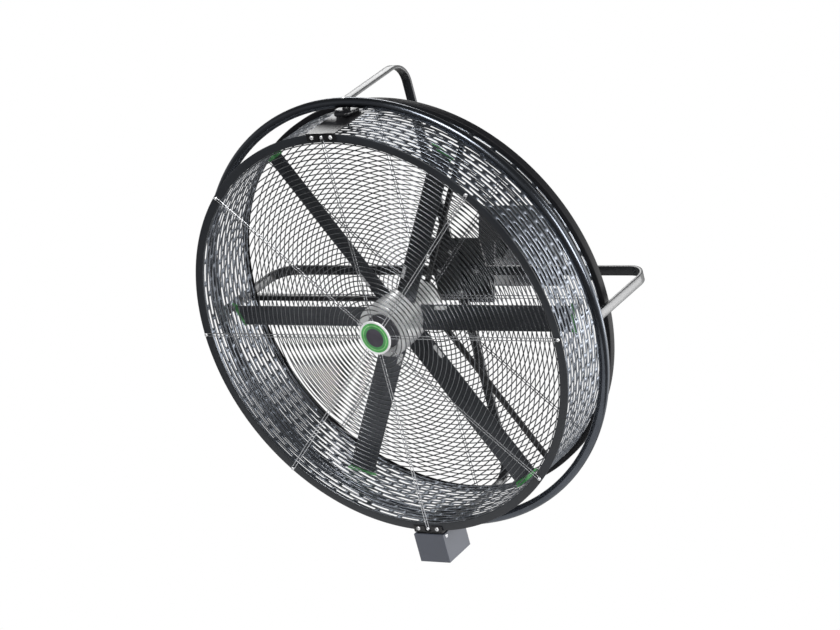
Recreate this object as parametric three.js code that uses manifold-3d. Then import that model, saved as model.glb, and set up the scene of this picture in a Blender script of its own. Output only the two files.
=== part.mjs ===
// Drum fan, 1.8 m, on a tilting yoke frame that bolts to a wall.
//
// Millimetres, +Z up, -Y towards the room. The origin is the middle of the wall plate's back face.
// The fan itself is drawn in its own group: origin in the middle of the drum, y along the air flow
// (front is -y), z along the swivel pins. That group hangs on the tilt pin, turned face down.

import * as THREE from 'three';
import { mergeVertices } from 'three/addons/utils/BufferGeometryUtils.js';
import Module from 'manifold-3d';

const wasm = await Module();
wasm.setup();

// ---------------------------------------------------------------- driving dimensions

const clearance = 0.3;            // between pieces that touch

// Wall mount
const wallPlateWidth = 440;
const wallPlateHeight = 350;
const wallPlateThickness = 12;
const anchorHoleRadius = 9;
const anchorEdge = 30;            // hole centre to plate edge
const armSize = 120;              // square tube
const armWall = 6;
const armDrop = 116;              // tube centre below plate centre
const gussetLength = 200;
const gussetHeight = 190;
const gussetThickness = 8;
const gussetSpacing = 90;
const pinReach = 428;             // wall to tilt pin
const pinRise = 30;               // tilt pin above tube centre
const flangeWidth = 184;
const flangeHeight = 262;
const flangeThickness = 12;
const flangeSetback = 78;         // tilt pin to flange face
const cheekThickness = 12;
const cheekOutside = 100;         // across both cheeks
const cheekNose = 42;             // radius round the tilt pin
const cheekRoot = 62;             // half height where a cheek meets the flange

// Tilt pin and head plate
const tiltAtRest = 25.4;          // degrees face down, as hung in the photograph
const tiltPinRadius = 15;
const tiltPinCollar = 24;
const tiltPinCollarLength = 12;
const drumToTiltPin = 510;
const headPlateWidth = 280;
const headPlateHeight = 290;
const headPlateThickness = 8;
const earThickness = 12;
const earNose = 45;
const earRoot = 70;

// Drum
const drumRadius = 900;
const drumFront = -202;
const drumRear = 186;
const ringFlange = 36;            // width of the front ring's flat face
const shellSetIn = 22.5;          // drum's rim to the outside of the shell
const ringSheet = 3;
const frontLip = 6;               // depth of the front ring's rim
const rearLip = 36;               // depth of the rear ring, a channel open towards the axis
const rearHem = 12;               // width of its rear edge, folded in
const ringLipSheet = 5;
const shellSheet = 3;
const drumFacets = 48;            // sides of the rings, shell and hoop, so that they nest
const slotLength = 150;           // a plain grid in place of the finer slots
const slotWidth = 18;
const slotRows = 8;
const slotsPerRow = 24;
const firstSlotRow = 42;          // drum's front face to the first row of slots
const lastSlotRow = 15;           // last row to the rear ring's front face

// Yoke frame
const hoopGap = 54.8;             // drum's rim to the middle of the hoop's tube
const hoopTube = 21.2;
const barThickness = 13;
const barWidth = 42;
const yokeBack = 436;             // drum centre to the middle of the upright yoke's back bar
const levelLegInset = 4;          // hoop's middle to the middle of the level yoke's legs
const uprightLegOutset = 8;       // the same for the upright yoke, outwards
const yokeBend = 95;
const yokeBoltEdge = 45;          // side bolts to the head plate's edges
const yokeBoltEnd = 50;           // upper and lower bolts to its ends
const yokeBoltRadius = 6;
const yokeBoltHead = 10;
const yokeBoltHeadHeight = 8;
const yokeBoltTail = 4;           // behind the head plate
const padGap = 10;                // level bar to the pads above and below it
const padEdge = 20;               // pads to the head plate's edges

// Swivel pins and clamp knob
const swivelPinRadius = 8;
const swivelPinFoot = 3;          // pin's foot inside the drum's rim
const collarRadius = 17;
const knobRadius = 57.5;
const knobShare = 0.56;           // wheel's thickness, as a share of the gap that it turns in
const knobLobes = 6;
const knobLobeDepth = 7;

// Guards
const guardRings = 6;
const guardInner = 100;
const guardEdge = 40;             // outermost ring to the drum's rim
const guardHub = 70;
const wire = 4;
const spokeGap = 12;
const spokeCount = 8;
const guardBoltInset = 12;        // bolts to the drum's rim
const boltHead = 7;
const boltHeadHeight = 6;
const boltShank = 3;
const badgeRadius = 75;
const badgeThickness = 8;

// Swivel brackets and terminal box
const bracketSheet = 5;
const bracketHalfWidth = 72;
const bracketBack = 28;           // pin to the plate's back edge
const bracketCorner = 15;
const bracketBoltEdge = 25;       // bolt to the plate's side edge
const foldDrop = 13;              // fold's edge past the bolts
const foldNotch = 28;             // opening for the guard's spoke and bolt
const boxWidth = 150;
const boxShift = -5;              // from the drum's middle plane
const boxOverhang = 7;            // box front before the drum's face
const boxDepth = 165;
const boxHeight = 131;
const boxSheet = 3;
const boxPad = 10;                // height of the pad that spaces the box from its bracket
const boxPadInset = 12;
const boxCableHole = 14;

// Motor
const armTube = 20;
const armStart = 40;
const armEndGap = 4;              // arm's end to the rear ring's rim
const mountPlateThickness = 7;
const casingRearRadius = 104;
const casingFrontRadius = 110;
const casingFront = 34;
const casingSheet = 6;
const casingWeb = 8;
const axleRadius = 20;
const bearingRadius = 35;
const statorRadius = 80;
const statorLength = 80;

// Rotor
const hubFront = -150;
const hubRear = 30;
const hubFrontRadius = 117;
const hubRearRadius = 113;
const hubFacets = 30;              // a multiple of the blades, so that every root is alike
const hubSheet = 8;
const hubWall = 12;
const hubChamfer = 5;
const hubDiscRadius = 85;
const hubDiscSet = 3;             // face of the disc behind the hub's rim
const hubDiscThickness = 6;
const hubDiscGap = 1;             // disc to the hub's front wall
const axleEndSet = 0.5;           // axle's end behind that wall's face
const bearingInset = 1;           // bearings inside the hub's walls
const bladeCount = 6;
const tipRoom = 44;               // winglet's cap to the drum's rim
const bladeChord = 107;
const bladeThickness = 15;
const bladePitch = 15.8;          // degrees
const bladePlane = -12;
const wingletThickness = 6;
const wingletReach = 22;
const wingletLead = 14;
const wingletSweep = 11;
const wingletNose = 11;           // overhang at the blade's leading edge
const wingletShoulder = 0.6;      // where the outer edge turns, as a share of the reach
const wingletRise = 0.8;          // the same, as a share of the sweep
const wingletBulge = 2;
const wingletSet = 0.25;          // towards the blade's flat side, as a share of its thickness

// ---------------------------------------------------------------- finishes

function finish(color, roughness, metalness) {
  return () => new THREE.MeshStandardMaterial({ color, roughness, metalness });
}
const blackPaint = finish(0x1d1e21, 0.35, 0.3);
const darkSteel = finish(0x94969b, 0.3, 0.9);
const greyPaint = finish(0x3f434c, 0.5, 0.2);
const anodised = finish(0x34363b, 0.45, 0.6);
const galvanised = finish(0xaeb4bd, 0.35, 0.9);
const zincWire = finish(0x8d939b, 0.35, 0.9);
const polished = finish(0xc9ced4, 0.15, 1.0);
const steel = finish(0xd7d9dc, 0.25, 1.0);
const greenPlastic = finish(0x3f7f4a, 0.4, 0.0);
const darkPlastic = finish(0x2a2a30, 0.4, 0.0);
const copper = finish(0x8a5a3a, 0.4, 0.8);

// ---------------------------------------------------------------- helpers

const degrees = THREE.MathUtils.degToRad;

function placed(geometry, x = 0, y = 0, z = 0) {
  return geometry.translate(x, y, z);
}

function solid(geometry) {
  const bare = geometry.clone();
  bare.deleteAttribute('normal');
  bare.deleteAttribute('uv');
  const merged = mergeVertices(bare, 1e-4);
  return new wasm.Manifold(new wasm.Mesh({
    numProp: 3,
    vertProperties: new Float32Array(merged.attributes.position.array),
    triVerts: new Uint32Array(merged.index.array),
  }));
}

function surface(manifold) {
  const mesh = manifold.getMesh();
  const geometry = new THREE.BufferGeometry();
  geometry.setAttribute('position', new THREE.BufferAttribute(mesh.vertProperties, 3));
  geometry.setIndex(new THREE.BufferAttribute(mesh.triVerts, 1));
  geometry.computeVertexNormals();
  return geometry;
}

function joined(geometries) {
  return surface(geometries.map(solid).reduce((whole, piece) => whole.add(piece)));
}

function cutFrom(geometry, cutters) {
  return surface(cutters.map(solid).reduce((rest, cutter) => rest.subtract(cutter), solid(geometry)));
}

function addPiece(parent, name, geometry, material) {
  const mesh = new THREE.Mesh(geometry, material());
  mesh.name = name;
  parent.add(mesh);
  return mesh;
}

// A ring or disc turned about the drum's axis. The profile runs anticlockwise in (radius, y).
function turned(profile, segments = 48) {
  const points = [...profile, profile[0]].map(([radius, y]) => new THREE.Vector2(radius, y));
  return new THREE.LatheGeometry(points, segments);
}

// A stepped round pin about the y axis. Each step is [radius, from, to], in order of y.
function steppedPin(steps, segments = 16) {
  const points = [new THREE.Vector2(0, steps[0][1])];
  for (const [radius, from, to] of steps) {
    points.push(new THREE.Vector2(radius, from), new THREE.Vector2(radius, to));
  }
  points.push(new THREE.Vector2(0, steps.at(-1)[2]));
  return new THREE.LatheGeometry(points, segments);
}

function rod(radius, length, segments = 16) {
  return new THREE.CylinderGeometry(radius, radius, length, segments);
}

// An outline drawn in (y, z), made `thickness` thick along x and centred on x.
function cutInYZ(points, thickness, x) {
  const shape = new THREE.Shape(points.map(([y, z]) => new THREE.Vector2(y, z)));
  const geometry = new THREE.ExtrudeGeometry(shape, { depth: thickness, bevelEnabled: false });
  const turn = new THREE.Matrix4().makeBasis(
    new THREE.Vector3(0, 1, 0), new THREE.Vector3(0, 0, 1), new THREE.Vector3(1, 0, 0));
  return geometry.applyMatrix4(turn).translate(x - thickness / 2, 0, 0);
}

// Points of a path with its inner corners rounded.
function roundedPath(corners, radius, steps = 5) {
  const path = [corners[0]];
  for (let i = 1; i < corners.length - 1; i += 1) {
    const corner = corners[i];
    const back = corners[i - 1].clone().sub(corner).normalize();
    const on = corners[i + 1].clone().sub(corner).normalize();
    const half = back.angleTo(on) / 2;
    const middle = back.clone().add(on).normalize().multiplyScalar(radius / Math.sin(half));
    const centre = corner.clone().add(middle);
    const from = corner.clone().addScaledVector(back, radius / Math.tan(half)).sub(centre);
    const to = corner.clone().addScaledVector(on, radius / Math.tan(half)).sub(centre);
    const sweep = Math.atan2(from.cross(to), from.dot(to));
    for (let k = 0; k <= steps; k += 1) {
      path.push(from.clone().rotateAround(new THREE.Vector2(), sweep * k / steps).add(centre));
    }
  }
  path.push(corners.at(-1));
  return path;
}

// A flat bar bent along a path in one plane: its outline, `thickness` across the path.
function barOutline(path, thickness) {
  const side = (sign) => path.map((point, i) => {
    const before = path[Math.max(i - 1, 0)];
    const after = path[Math.min(i + 1, path.length - 1)];
    const first = point.clone().sub(before).normalize();
    const second = after.clone().sub(point).normalize();
    const along = first.add(second).normalize();
    const bend = i > 0 && i < path.length - 1
      ? Math.cos(point.clone().sub(before).angleTo(after.clone().sub(point)) / 2) : 1;
    const reach = sign * thickness / 2 / bend;
    return new THREE.Vector2(point.x - along.y * reach, point.y + along.x * reach);
  });
  return new THREE.Shape([...side(1), ...side(-1).reverse()]);
}

// ---------------------------------------------------------------- wall mount (does not move)

const drumFan = new THREE.Group();
drumFan.name = 'drum_fan';

const wallPlateFace = -wallPlateThickness;
const flangeFace = -pinReach + flangeSetback;
const flangeBack = flangeFace + flangeThickness;
const pinHeight = -armDrop + pinRise;

function makeWallPlate() {
  const holes = [];
  for (const sx of [-1, 1]) {
    for (const sz of [-1, 1]) {
      holes.push(placed(rod(anchorHoleRadius, 3 * wallPlateThickness),
        sx * (wallPlateWidth / 2 - anchorEdge), wallPlateFace / 2, sz * (wallPlateHeight / 2 - anchorEdge)));
    }
  }
  const plate = new THREE.BoxGeometry(wallPlateWidth, wallPlateThickness, wallPlateHeight);
  return cutFrom(placed(plate, 0, wallPlateFace / 2, 0), holes);
}

function makeArm() {
  const front = flangeBack + clearance;
  const back = wallPlateFace - clearance;
  const length = back - front;
  const middle = (front + back) / 2;
  const tube = placed(new THREE.BoxGeometry(armSize, length, armSize), 0, middle, -armDrop);
  const inside = armSize - 2 * armWall;
  const bore = placed(new THREE.BoxGeometry(inside, length + 2, inside), 0, middle, -armDrop);
  const top = -armDrop + armSize / 2;
  const foot = top - armWall / 2;
  const gussets = [-1, 1].map((side) => cutInYZ(
    [[back - gussetLength, foot], [back, foot], [back, top + gussetHeight], [back - gussetThickness, top + gussetHeight]],
    gussetThickness, side * gussetSpacing / 2));
  return surface(solid(tube).subtract(solid(bore)).add(solid(gussets[0])).add(solid(gussets[1])));
}

function noseOutline(rootY, rootHalf, noseY, noseZ, radius, rootZ = noseZ) {
  const towards = Math.sign(noseY - rootY);
  const points = [[rootY, rootZ - rootHalf]];
  const steps = 8;
  for (let k = 0; k <= steps; k += 1) {
    const angle = -Math.PI / 2 + Math.PI * k / steps;
    points.push([noseY + towards * radius * Math.cos(angle), noseZ + radius * Math.sin(angle)]);
  }
  points.push([rootY, rootZ + rootHalf]);
  return points;
}

function makeTiltBracket() {
  const flange = placed(new THREE.BoxGeometry(flangeWidth, flangeThickness, flangeHeight),
    0, flangeFace + flangeThickness / 2, -armDrop);
  const outline = noseOutline(flangeFace + flangeThickness / 2, cheekRoot, -pinReach, pinHeight, cheekNose);
  const cheekX = (cheekOutside - cheekThickness) / 2;
  const cheeks = [-1, 1].map((side) => cutInYZ(outline, cheekThickness, side * cheekX));
  const bore = rod(tiltPinRadius + clearance, cheekOutside + 2, 24).rotateZ(Math.PI / 2);
  const body = [flange, ...cheeks].map(solid).reduce((whole, piece) => whole.add(piece));
  return surface(body.subtract(solid(placed(bore, 0, -pinReach, pinHeight))));
}

addPiece(drumFan, 'wall_plate', makeWallPlate(), blackPaint);
addPiece(drumFan, 'mount_arm', makeArm(), blackPaint);
addPiece(drumFan, 'tilt_bracket', makeTiltBracket(), blackPaint);

// ---------------------------------------------------------------- the tilting fan group

const tiltGroup = new THREE.Group();
tiltGroup.position.set(0, -pinReach, pinHeight);
tiltGroup.rotation.x = degrees(tiltAtRest);
drumFan.add(tiltGroup);

const fan = new THREE.Group();
fan.position.set(0, -drumToTiltPin, 0);
tiltGroup.add(fan);

// Yoke frame: a horizontal and a vertical yoke cross behind the drum and carry the hoop.

const hoopRadius = drumRadius + hoopGap;
const uprightBarRear = yokeBack + barThickness / 2;
const levelBack = uprightBarRear + clearance + barThickness / 2;
const headPlateFace = levelBack + barThickness / 2 + clearance;
const headPlateRear = headPlateFace + headPlateThickness;

const yokeBoltX = headPlateWidth / 2 - yokeBoltEdge;
const yokeBoltZ = headPlateHeight / 2 - yokeBoltEnd;

// A flat bar bent into a U: `reach` from the drum's middle to the middle of each leg.
function yokeBar(reach, back) {
  const legStart = hoopTube + clearance;
  const points = [[reach, legStart], [reach, back], [-reach, back], [-reach, legStart]]
    .map(([x, y]) => new THREE.Vector2(x, y));
  const outline = barOutline(roundedPath(points, yokeBend), barThickness);
  const bar = new THREE.ExtrudeGeometry(outline, { depth: barWidth, bevelEnabled: false });
  return bar.translate(0, 0, -barWidth / 2);
}

const yokeBolts = [
  { name: 'yoke_bolt_right', x: yokeBoltX, z: 0, face: levelBack - barThickness / 2 },
  { name: 'yoke_bolt_left', x: -yokeBoltX, z: 0, face: levelBack - barThickness / 2 },
  { name: 'yoke_bolt_top', x: 0, z: yokeBoltZ, face: yokeBack - barThickness / 2 },
  { name: 'yoke_bolt_bottom', x: 0, z: -yokeBoltZ, face: yokeBack - barThickness / 2 },
];

function yokeBoltHoles() {
  return yokeBolts.map(({ x, z }) => placed(rod(yokeBoltRadius + clearance, 80), x, yokeBack, z));
}

function makeHeadPlate() {
  const plate = placed(new THREE.BoxGeometry(headPlateWidth, headPlateThickness, headPlateHeight),
    0, headPlateFace + headPlateThickness / 2, 0);
  const padHeight = (headPlateHeight - barWidth) / 2 - padGap - padEdge;
  const padDepth = headPlateFace - clearance - uprightBarRear;
  const pads = [-1, 1].map((side) => placed(new THREE.BoxGeometry(barWidth, padDepth + 1, padHeight),
    0, uprightBarRear + clearance + (padDepth + 1) / 2, side * (barWidth / 2 + padGap + padHeight / 2)));
  const outline = noseOutline(headPlateRear - 1, earRoot, drumToTiltPin, 0, earNose);
  const earX = cheekOutside / 2 + clearance + earThickness / 2;
  const ears = [-1, 1].map((side) => cutInYZ(outline, earThickness, side * earX));
  const bore = placed(rod(tiltPinRadius + clearance, 2 * earX + earThickness + 2, 24).rotateZ(Math.PI / 2),
    0, drumToTiltPin, 0);
  const body = [plate, ...pads, ...ears].map(solid).reduce((whole, piece) => whole.add(piece));
  return surface([bore, ...yokeBoltHoles()].map(solid).reduce((rest, cutter) => rest.subtract(cutter), body));
}

function makeTiltPin() {
  const half = cheekOutside / 2 + clearance + earThickness + clearance;
  const pin = steppedPin([
    [tiltPinCollar, -half - tiltPinCollarLength, -half],
    [tiltPinRadius, -half, half],
    [tiltPinCollar, half, half + tiltPinCollarLength],
  ], 24);
  return placed(pin.rotateZ(Math.PI / 2), 0, drumToTiltPin, 0);
}

function makeHoop() {
  const profile = [];
  const sides = 8;
  const cornerRadius = hoopTube / Math.cos(Math.PI / sides);
  for (let k = 0; k < sides; k += 1) {
    const angle = 2 * Math.PI * (k + 0.5) / sides;
    profile.push([hoopRadius + cornerRadius * Math.cos(angle), cornerRadius * Math.sin(angle)]);
  }
  const bores = [-1, 1].map((side) =>
    placed(rod(swivelPinRadius + clearance, 4 * hoopTube).rotateX(Math.PI / 2), 0, 0, side * hoopRadius));
  return cutFrom(turned(profile, drumFacets), bores);
}

function makeYokeBolt({ x, z, face }) {
  const bolt = steppedPin([
    [yokeBoltHead, face - clearance - yokeBoltHeadHeight, face - clearance],
    [yokeBoltRadius, face - clearance, headPlateRear + yokeBoltTail],
  ], 6);
  return placed(bolt, x, 0, z);
}

addPiece(fan, 'head_plate', makeHeadPlate(), blackPaint);
addPiece(fan, 'tilt_pin', makeTiltPin(), steel);
addPiece(fan, 'horizontal_yoke', cutFrom(yokeBar(hoopRadius - levelLegInset, levelBack), yokeBoltHoles()), darkSteel);
addPiece(fan, 'vertical_yoke',
  cutFrom(yokeBar(hoopRadius + uprightLegOutset, yokeBack).rotateY(Math.PI / 2), yokeBoltHoles()), darkSteel);
addPiece(fan, 'hoop', makeHoop(), darkSteel);
for (const bolt of yokeBolts) {
  addPiece(fan, bolt.name, makeYokeBolt(bolt), steel);
}

// Swivel pins: the drum turns on them inside the hoop. The knob clamps the top one.

const bracketTop = drumRadius + clearance + bracketSheet;
const hoopInside = hoopRadius - hoopTube;
const hoopOutside = hoopRadius + hoopTube;
const pinFoot = drumRadius - swivelPinFoot;
const bracketBore = swivelPinRadius + clearance;
const collarTop = hoopInside - collarRadius * Math.tan(Math.PI / drumFacets) - clearance;
const collarFoot = bracketTop + clearance;

function makeTopPin() {
  return steppedPin([[swivelPinRadius, pinFoot, hoopOutside]]).rotateX(Math.PI / 2);
}

function makeBottomPin() {
  const pin = steppedPin([
    [swivelPinRadius, pinFoot, collarFoot],
    [collarRadius, collarFoot, collarTop],
    [swivelPinRadius, collarTop, hoopOutside],
  ]);
  return pin.rotateX(-Math.PI / 2);
}

function makeKnob() {
  const shape = new THREE.Shape();
  const steps = 8 * knobLobes;
  for (let k = 0; k < steps; k += 1) {
    const angle = 2 * Math.PI * k / steps;
    const radius = knobRadius - knobLobeDepth * (1 - Math.cos(knobLobes * angle)) / 2;
    const point = [radius * Math.cos(angle), radius * Math.sin(angle)];
    if (k === 0) shape.moveTo(...point);
    else shape.lineTo(...point);
  }
  const room = collarTop - collarFoot;
  const wheel = new THREE.ExtrudeGeometry(shape, { depth: knobShare * room, bevelEnabled: false });
  wheel.translate(0, 0, -knobShare * room / 2);
  const boss = rod(collarRadius, room).rotateX(Math.PI / 2);
  const bore = rod(bracketBore, 2 * room).rotateX(Math.PI / 2);
  return placed(surface(solid(wheel).add(solid(boss)).subtract(solid(bore))), 0, 0, (collarTop + collarFoot) / 2);
}

addPiece(fan, 'top_swivel_pin', makeTopPin(), steel);
addPiece(fan, 'bottom_swivel_pin', makeBottomPin(), steel);
addPiece(fan, 'clamp_knob', makeKnob(), darkPlastic);

// ---------------------------------------------------------------- drum

const shellSeat = drumRadius - shellSetIn;
const shellOutside = shellSeat - clearance;
const shellInner = shellOutside - shellSheet;
const rearFace = drumRear - rearLip;                         // the rear ring's front face, outside the shell
const guardBoltCircle = drumRadius - guardBoltInset;
const guardOuter = drumRadius - guardEdge;
const bracketBoltX = bracketHalfWidth - bracketBoltEdge;
const boltAngles = Array.from({ length: spokeCount }, (_, k) => 2 * Math.PI * k / spokeCount);

const frontRingProfile = [
  [drumRadius - ringFlange, drumFront], [drumRadius, drumFront], [drumRadius, drumFront + frontLip],
  [drumRadius - ringLipSheet, drumFront + frontLip], [drumRadius - ringLipSheet, drumFront + ringSheet],
  [drumRadius - ringFlange, drumFront + ringSheet],
];

// A channel round the end of the shell: a face in front, a rim, and a narrow edge folded in behind.
const rearRingProfile = [
  [shellSeat, rearFace], [drumRadius, rearFace], [drumRadius, drumRear], [drumRadius - rearHem, drumRear],
  [drumRadius - rearHem, drumRear - ringSheet], [drumRadius - ringLipSheet, drumRear - ringSheet],
  [drumRadius - ringLipSheet, rearFace + ringSheet], [shellSeat, rearFace + ringSheet],
];

function makeFrontRing() {
  const holes = boltAngles.map((angle) => placed(rod(boltShank + clearance, 20, 8),
    guardBoltCircle * Math.cos(angle), drumFront, guardBoltCircle * Math.sin(angle)));
  for (const side of [-1, 1]) {
    for (const end of [-1, 1]) {
      holes.push(placed(rod(boltShank + clearance, 20, 8), side * bracketBoltX, drumFront, end * guardBoltCircle));
    }
  }
  return cutFrom(turned(frontRingProfile, drumFacets), holes);
}

function makeShell() {
  const front = drumFront + ringSheet + clearance;
  const back = rearFace + ringSheet;
  const tube = turned([[shellInner, front], [shellOutside, front], [shellOutside, back], [shellInner, back]], drumFacets);
  const firstRow = drumFront + firstSlotRow;
  const lastRow = rearFace - lastSlotRow;
  const cutters = [];
  for (let row = 0; row < slotRows; row += 1) {
    const y = firstRow + (lastRow - firstRow) * row / (slotRows - 1);
    for (let k = 0; k < slotsPerRow; k += 1) {
      const angle = 360 / slotsPerRow * (k + 0.5 * (row % 2));
      const slot = new THREE.BoxGeometry(30, slotWidth, slotLength).translate(shellInner, y, 0);
      cutters.push(solid(slot.rotateY(degrees(-angle))));
    }
  }
  return surface(solid(tube).subtract(wasm.Manifold.union(cutters)));
}

// A wire guard: concentric rings on spokes of two parallel wires, each pair closed round its bolt.
function makeGuard(wireFace, towards) {
  const middle = wireFace + towards * wire / 2;
  const pieces = [];
  const ring = (radius, segments) => turned([
    [radius - wire / 2, middle - wire / 2], [radius + wire / 2, middle - wire / 2],
    [radius + wire / 2, middle + wire / 2], [radius - wire / 2, middle + wire / 2]], segments);
  pieces.push(ring(guardHub, 24));
  for (let k = 0; k < guardRings; k += 1) {
    pieces.push(ring(guardInner + (guardOuter - guardInner) * k / (guardRings - 1), 24));
  }
  const end = guardBoltCircle + spokeGap / 2;
  for (const angle of boltAngles) {
    for (const side of [-1, 1]) {
      const leg = new THREE.BoxGeometry(end - guardHub, wire, wire);
      leg.translate((end + guardHub) / 2, middle, side * spokeGap / 2);
      pieces.push(leg.rotateY(-angle));
    }
    const loop = new THREE.BoxGeometry(wire, wire, spokeGap + wire);
    pieces.push(loop.translate(end, middle, 0).rotateY(-angle));
  }
  return joined(pieces);
}

function makeGuardBolt(angle) {
  const seat = drumFront - clearance - wire - clearance;
  const bolt = steppedPin([
    [boltHead, seat - boltHeadHeight, seat],
    [boltShank, seat, drumFront + ringSheet],
  ], 8);
  return placed(bolt, guardBoltCircle * Math.cos(angle), 0, guardBoltCircle * Math.sin(angle));
}

function makeBracketBolt(x, end) {
  const seat = drumFront - clearance - bracketSheet - clearance;
  const bolt = steppedPin([
    [boltHead, seat - boltHeadHeight, seat],
    [boltShank, seat, drumFront + ringSheet],
  ], 8);
  return placed(bolt, x, 0, end * guardBoltCircle);
}

// A plate over the rim, folded down on the ring's face and notched there for the guard's spoke.
function makeSwivelBracket(end) {
  const front = drumFront - clearance - bracketSheet;
  const shape = new THREE.Shape();
  shape.moveTo(-bracketHalfWidth, front);
  shape.lineTo(bracketHalfWidth, front);
  shape.lineTo(bracketHalfWidth, bracketBack - bracketCorner);
  shape.absarc(bracketHalfWidth - bracketCorner, bracketBack - bracketCorner, bracketCorner, 0, Math.PI / 2, false);
  shape.absarc(-bracketHalfWidth + bracketCorner, bracketBack - bracketCorner, bracketCorner, Math.PI / 2, Math.PI, false);
  const base = drumRadius + clearance;
  const plate = new THREE.ExtrudeGeometry(shape, { depth: bracketSheet, bevelEnabled: false, curveSegments: 4 });
  plate.translate(0, 0, base);
  const foot = guardBoltCircle - foldDrop;
  const foldWidth = bracketHalfWidth - foldNotch / 2;
  const folds = [-1, 1].map((side) => placed(
    new THREE.BoxGeometry(foldWidth, bracketSheet, base + bracketSheet - foot),
    side * (foldNotch + foldWidth) / 2, front + bracketSheet / 2, (base + bracketSheet + foot) / 2));
  const boltHoles = [-1, 1].map((side) =>
    placed(rod(boltShank + clearance, 30, 8), side * bracketBoltX, front, guardBoltCircle));
  const bore = placed(rod(bracketBore, 40).rotateX(Math.PI / 2), 0, 0, base);
  const body = [plate, ...folds].map(solid).reduce((whole, piece) => whole.add(piece));
  const cut = [bore, ...boltHoles].map(solid).reduce((rest, cutter) => rest.subtract(cutter), body);
  return end > 0 ? surface(cut) : surface(cut).rotateY(Math.PI);
}

// A folded box under the lower bracket. A pad spaces it from the bracket, with a hole for the cable.
function makeTerminalBox() {
  const padTop = -(bracketTop + clearance);
  const top = padTop - boxPad;
  const middleY = drumFront - boxOverhang + boxDepth / 2;
  const middle = top - boxHeight / 2;
  const outside = new THREE.BoxGeometry(boxWidth, boxDepth, boxHeight).translate(boxShift, middleY, middle);
  const pad = new THREE.BoxGeometry(boxWidth - 2 * boxPadInset, boxDepth - 2 * boxPadInset, boxPad + boxSheet / 2)
    .translate(boxShift, middleY, padTop - (boxPad + boxSheet / 2) / 2);
  const inside = new THREE.BoxGeometry(boxWidth - 2 * boxSheet, boxDepth - 2 * boxSheet, boxHeight - 2 * boxSheet)
    .translate(boxShift, middleY, middle);
  const cable = rod(boxCableHole, 2 * (boxPad + boxSheet + 1)).rotateX(Math.PI / 2).translate(boxShift, middleY, top);
  return surface(solid(outside).add(solid(pad)).subtract(solid(inside)).subtract(solid(cable)));
}

addPiece(fan, 'drum_shell', makeShell(), galvanised);
addPiece(fan, 'front_ring', makeFrontRing(), blackPaint);
addPiece(fan, 'rear_ring', turned(rearRingProfile, drumFacets), blackPaint);
addPiece(fan, 'front_guard', makeGuard(drumFront - clearance, -1), zincWire);
addPiece(fan, 'rear_guard', makeGuard(drumRear + clearance, 1), zincWire);
boltAngles.forEach((angle, k) => addPiece(fan, `guard_bolt_${k + 1}`, makeGuardBolt(angle), steel));
addPiece(fan, 'top_swivel_bracket', makeSwivelBracket(1), blackPaint);
addPiece(fan, 'bottom_swivel_bracket', makeSwivelBracket(-1), blackPaint);
for (const [end, label] of [[1, 'top'], [-1, 'bottom']]) {
  addPiece(fan, `${label}_bracket_bolt_left`, makeBracketBolt(-bracketBoltX, end), steel);
  addPiece(fan, `${label}_bracket_bolt_right`, makeBracketBolt(bracketBoltX, end), steel);
}
addPiece(fan, 'terminal_box', makeTerminalBox(), greyPaint);

function makeBadge() {
  const back = drumFront - 2 * clearance - wire;
  return steppedPin([[badgeRadius, back - badgeThickness, back]], 32);
}
addPiece(fan, 'badge', makeBadge(), darkPlastic);

// ---------------------------------------------------------------- motor

const armRear = rearFace + ringSheet + clearance + armTube;     // the arms lie against the back of the rear ring's face
const mountPlateRear = armRear - armTube - clearance;
const mountPlateFace = mountPlateRear - mountPlateThickness;
const casingRear = mountPlateFace - clearance;
const hubWallFront = hubFront + hubDiscSet + hubDiscThickness + hubDiscGap;
const axleFront = hubWallFront + axleEndSet;

function makeMotorArm(angle) {
  const end = drumRadius - ringLipSheet - armEndGap;
  const tube = new THREE.BoxGeometry(end - armStart, armTube, armTube);
  return tube.translate((end + armStart) / 2, armRear - armTube / 2, 0).rotateY(-degrees(angle));
}

function makeCasing() {
  const bore = axleRadius + clearance;
  const web = casingFront + casingWeb;
  return turned([
    [bore, casingFront], [casingFrontRadius, casingFront], [casingRearRadius, casingRear],
    [casingRearRadius - casingSheet, casingRear], [casingFrontRadius - casingSheet, web], [bore, web],
  ], 32);
}

addPiece(fan, 'motor_arm_left', makeMotorArm(180), blackPaint);
addPiece(fan, 'motor_arm_upper', makeMotorArm(60), blackPaint);
addPiece(fan, 'motor_arm_lower', makeMotorArm(-60), blackPaint);
addPiece(fan, 'motor_mount_plate', turned([
  [axleRadius + clearance, mountPlateFace], [casingRearRadius, mountPlateFace],
  [casingRearRadius, mountPlateRear], [axleRadius + clearance, mountPlateRear]], 32), blackPaint);
addPiece(fan, 'motor_casing', makeCasing(), polished);
addPiece(fan, 'axle', steppedPin([[axleRadius, axleFront, mountPlateRear]]), steel);

const hubWallBack = hubWallFront + hubWall;
const hubBackWall = hubRear - hubWall;

function makeBearing(from, to) {
  return turned([
    [axleRadius + clearance, from], [bearingRadius - clearance, from],
    [bearingRadius - clearance, to], [axleRadius + clearance, to]], 20);
}

function makeStator() {
  const middle = (hubWallBack + hubBackWall) / 2;
  return turned([
    [axleRadius + clearance, middle - statorLength / 2], [statorRadius, middle - statorLength / 2],
    [statorRadius, middle + statorLength / 2], [axleRadius + clearance, middle + statorLength / 2]], 20);
}

addPiece(fan, 'front_bearing', makeBearing(hubWallFront + bearingInset, hubWallBack - bearingInset), steel);
addPiece(fan, 'rear_bearing', makeBearing(hubBackWall + bearingInset, hubRear - bearingInset), steel);
addPiece(fan, 'stator', makeStator(), copper);

// ---------------------------------------------------------------- rotor

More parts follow.
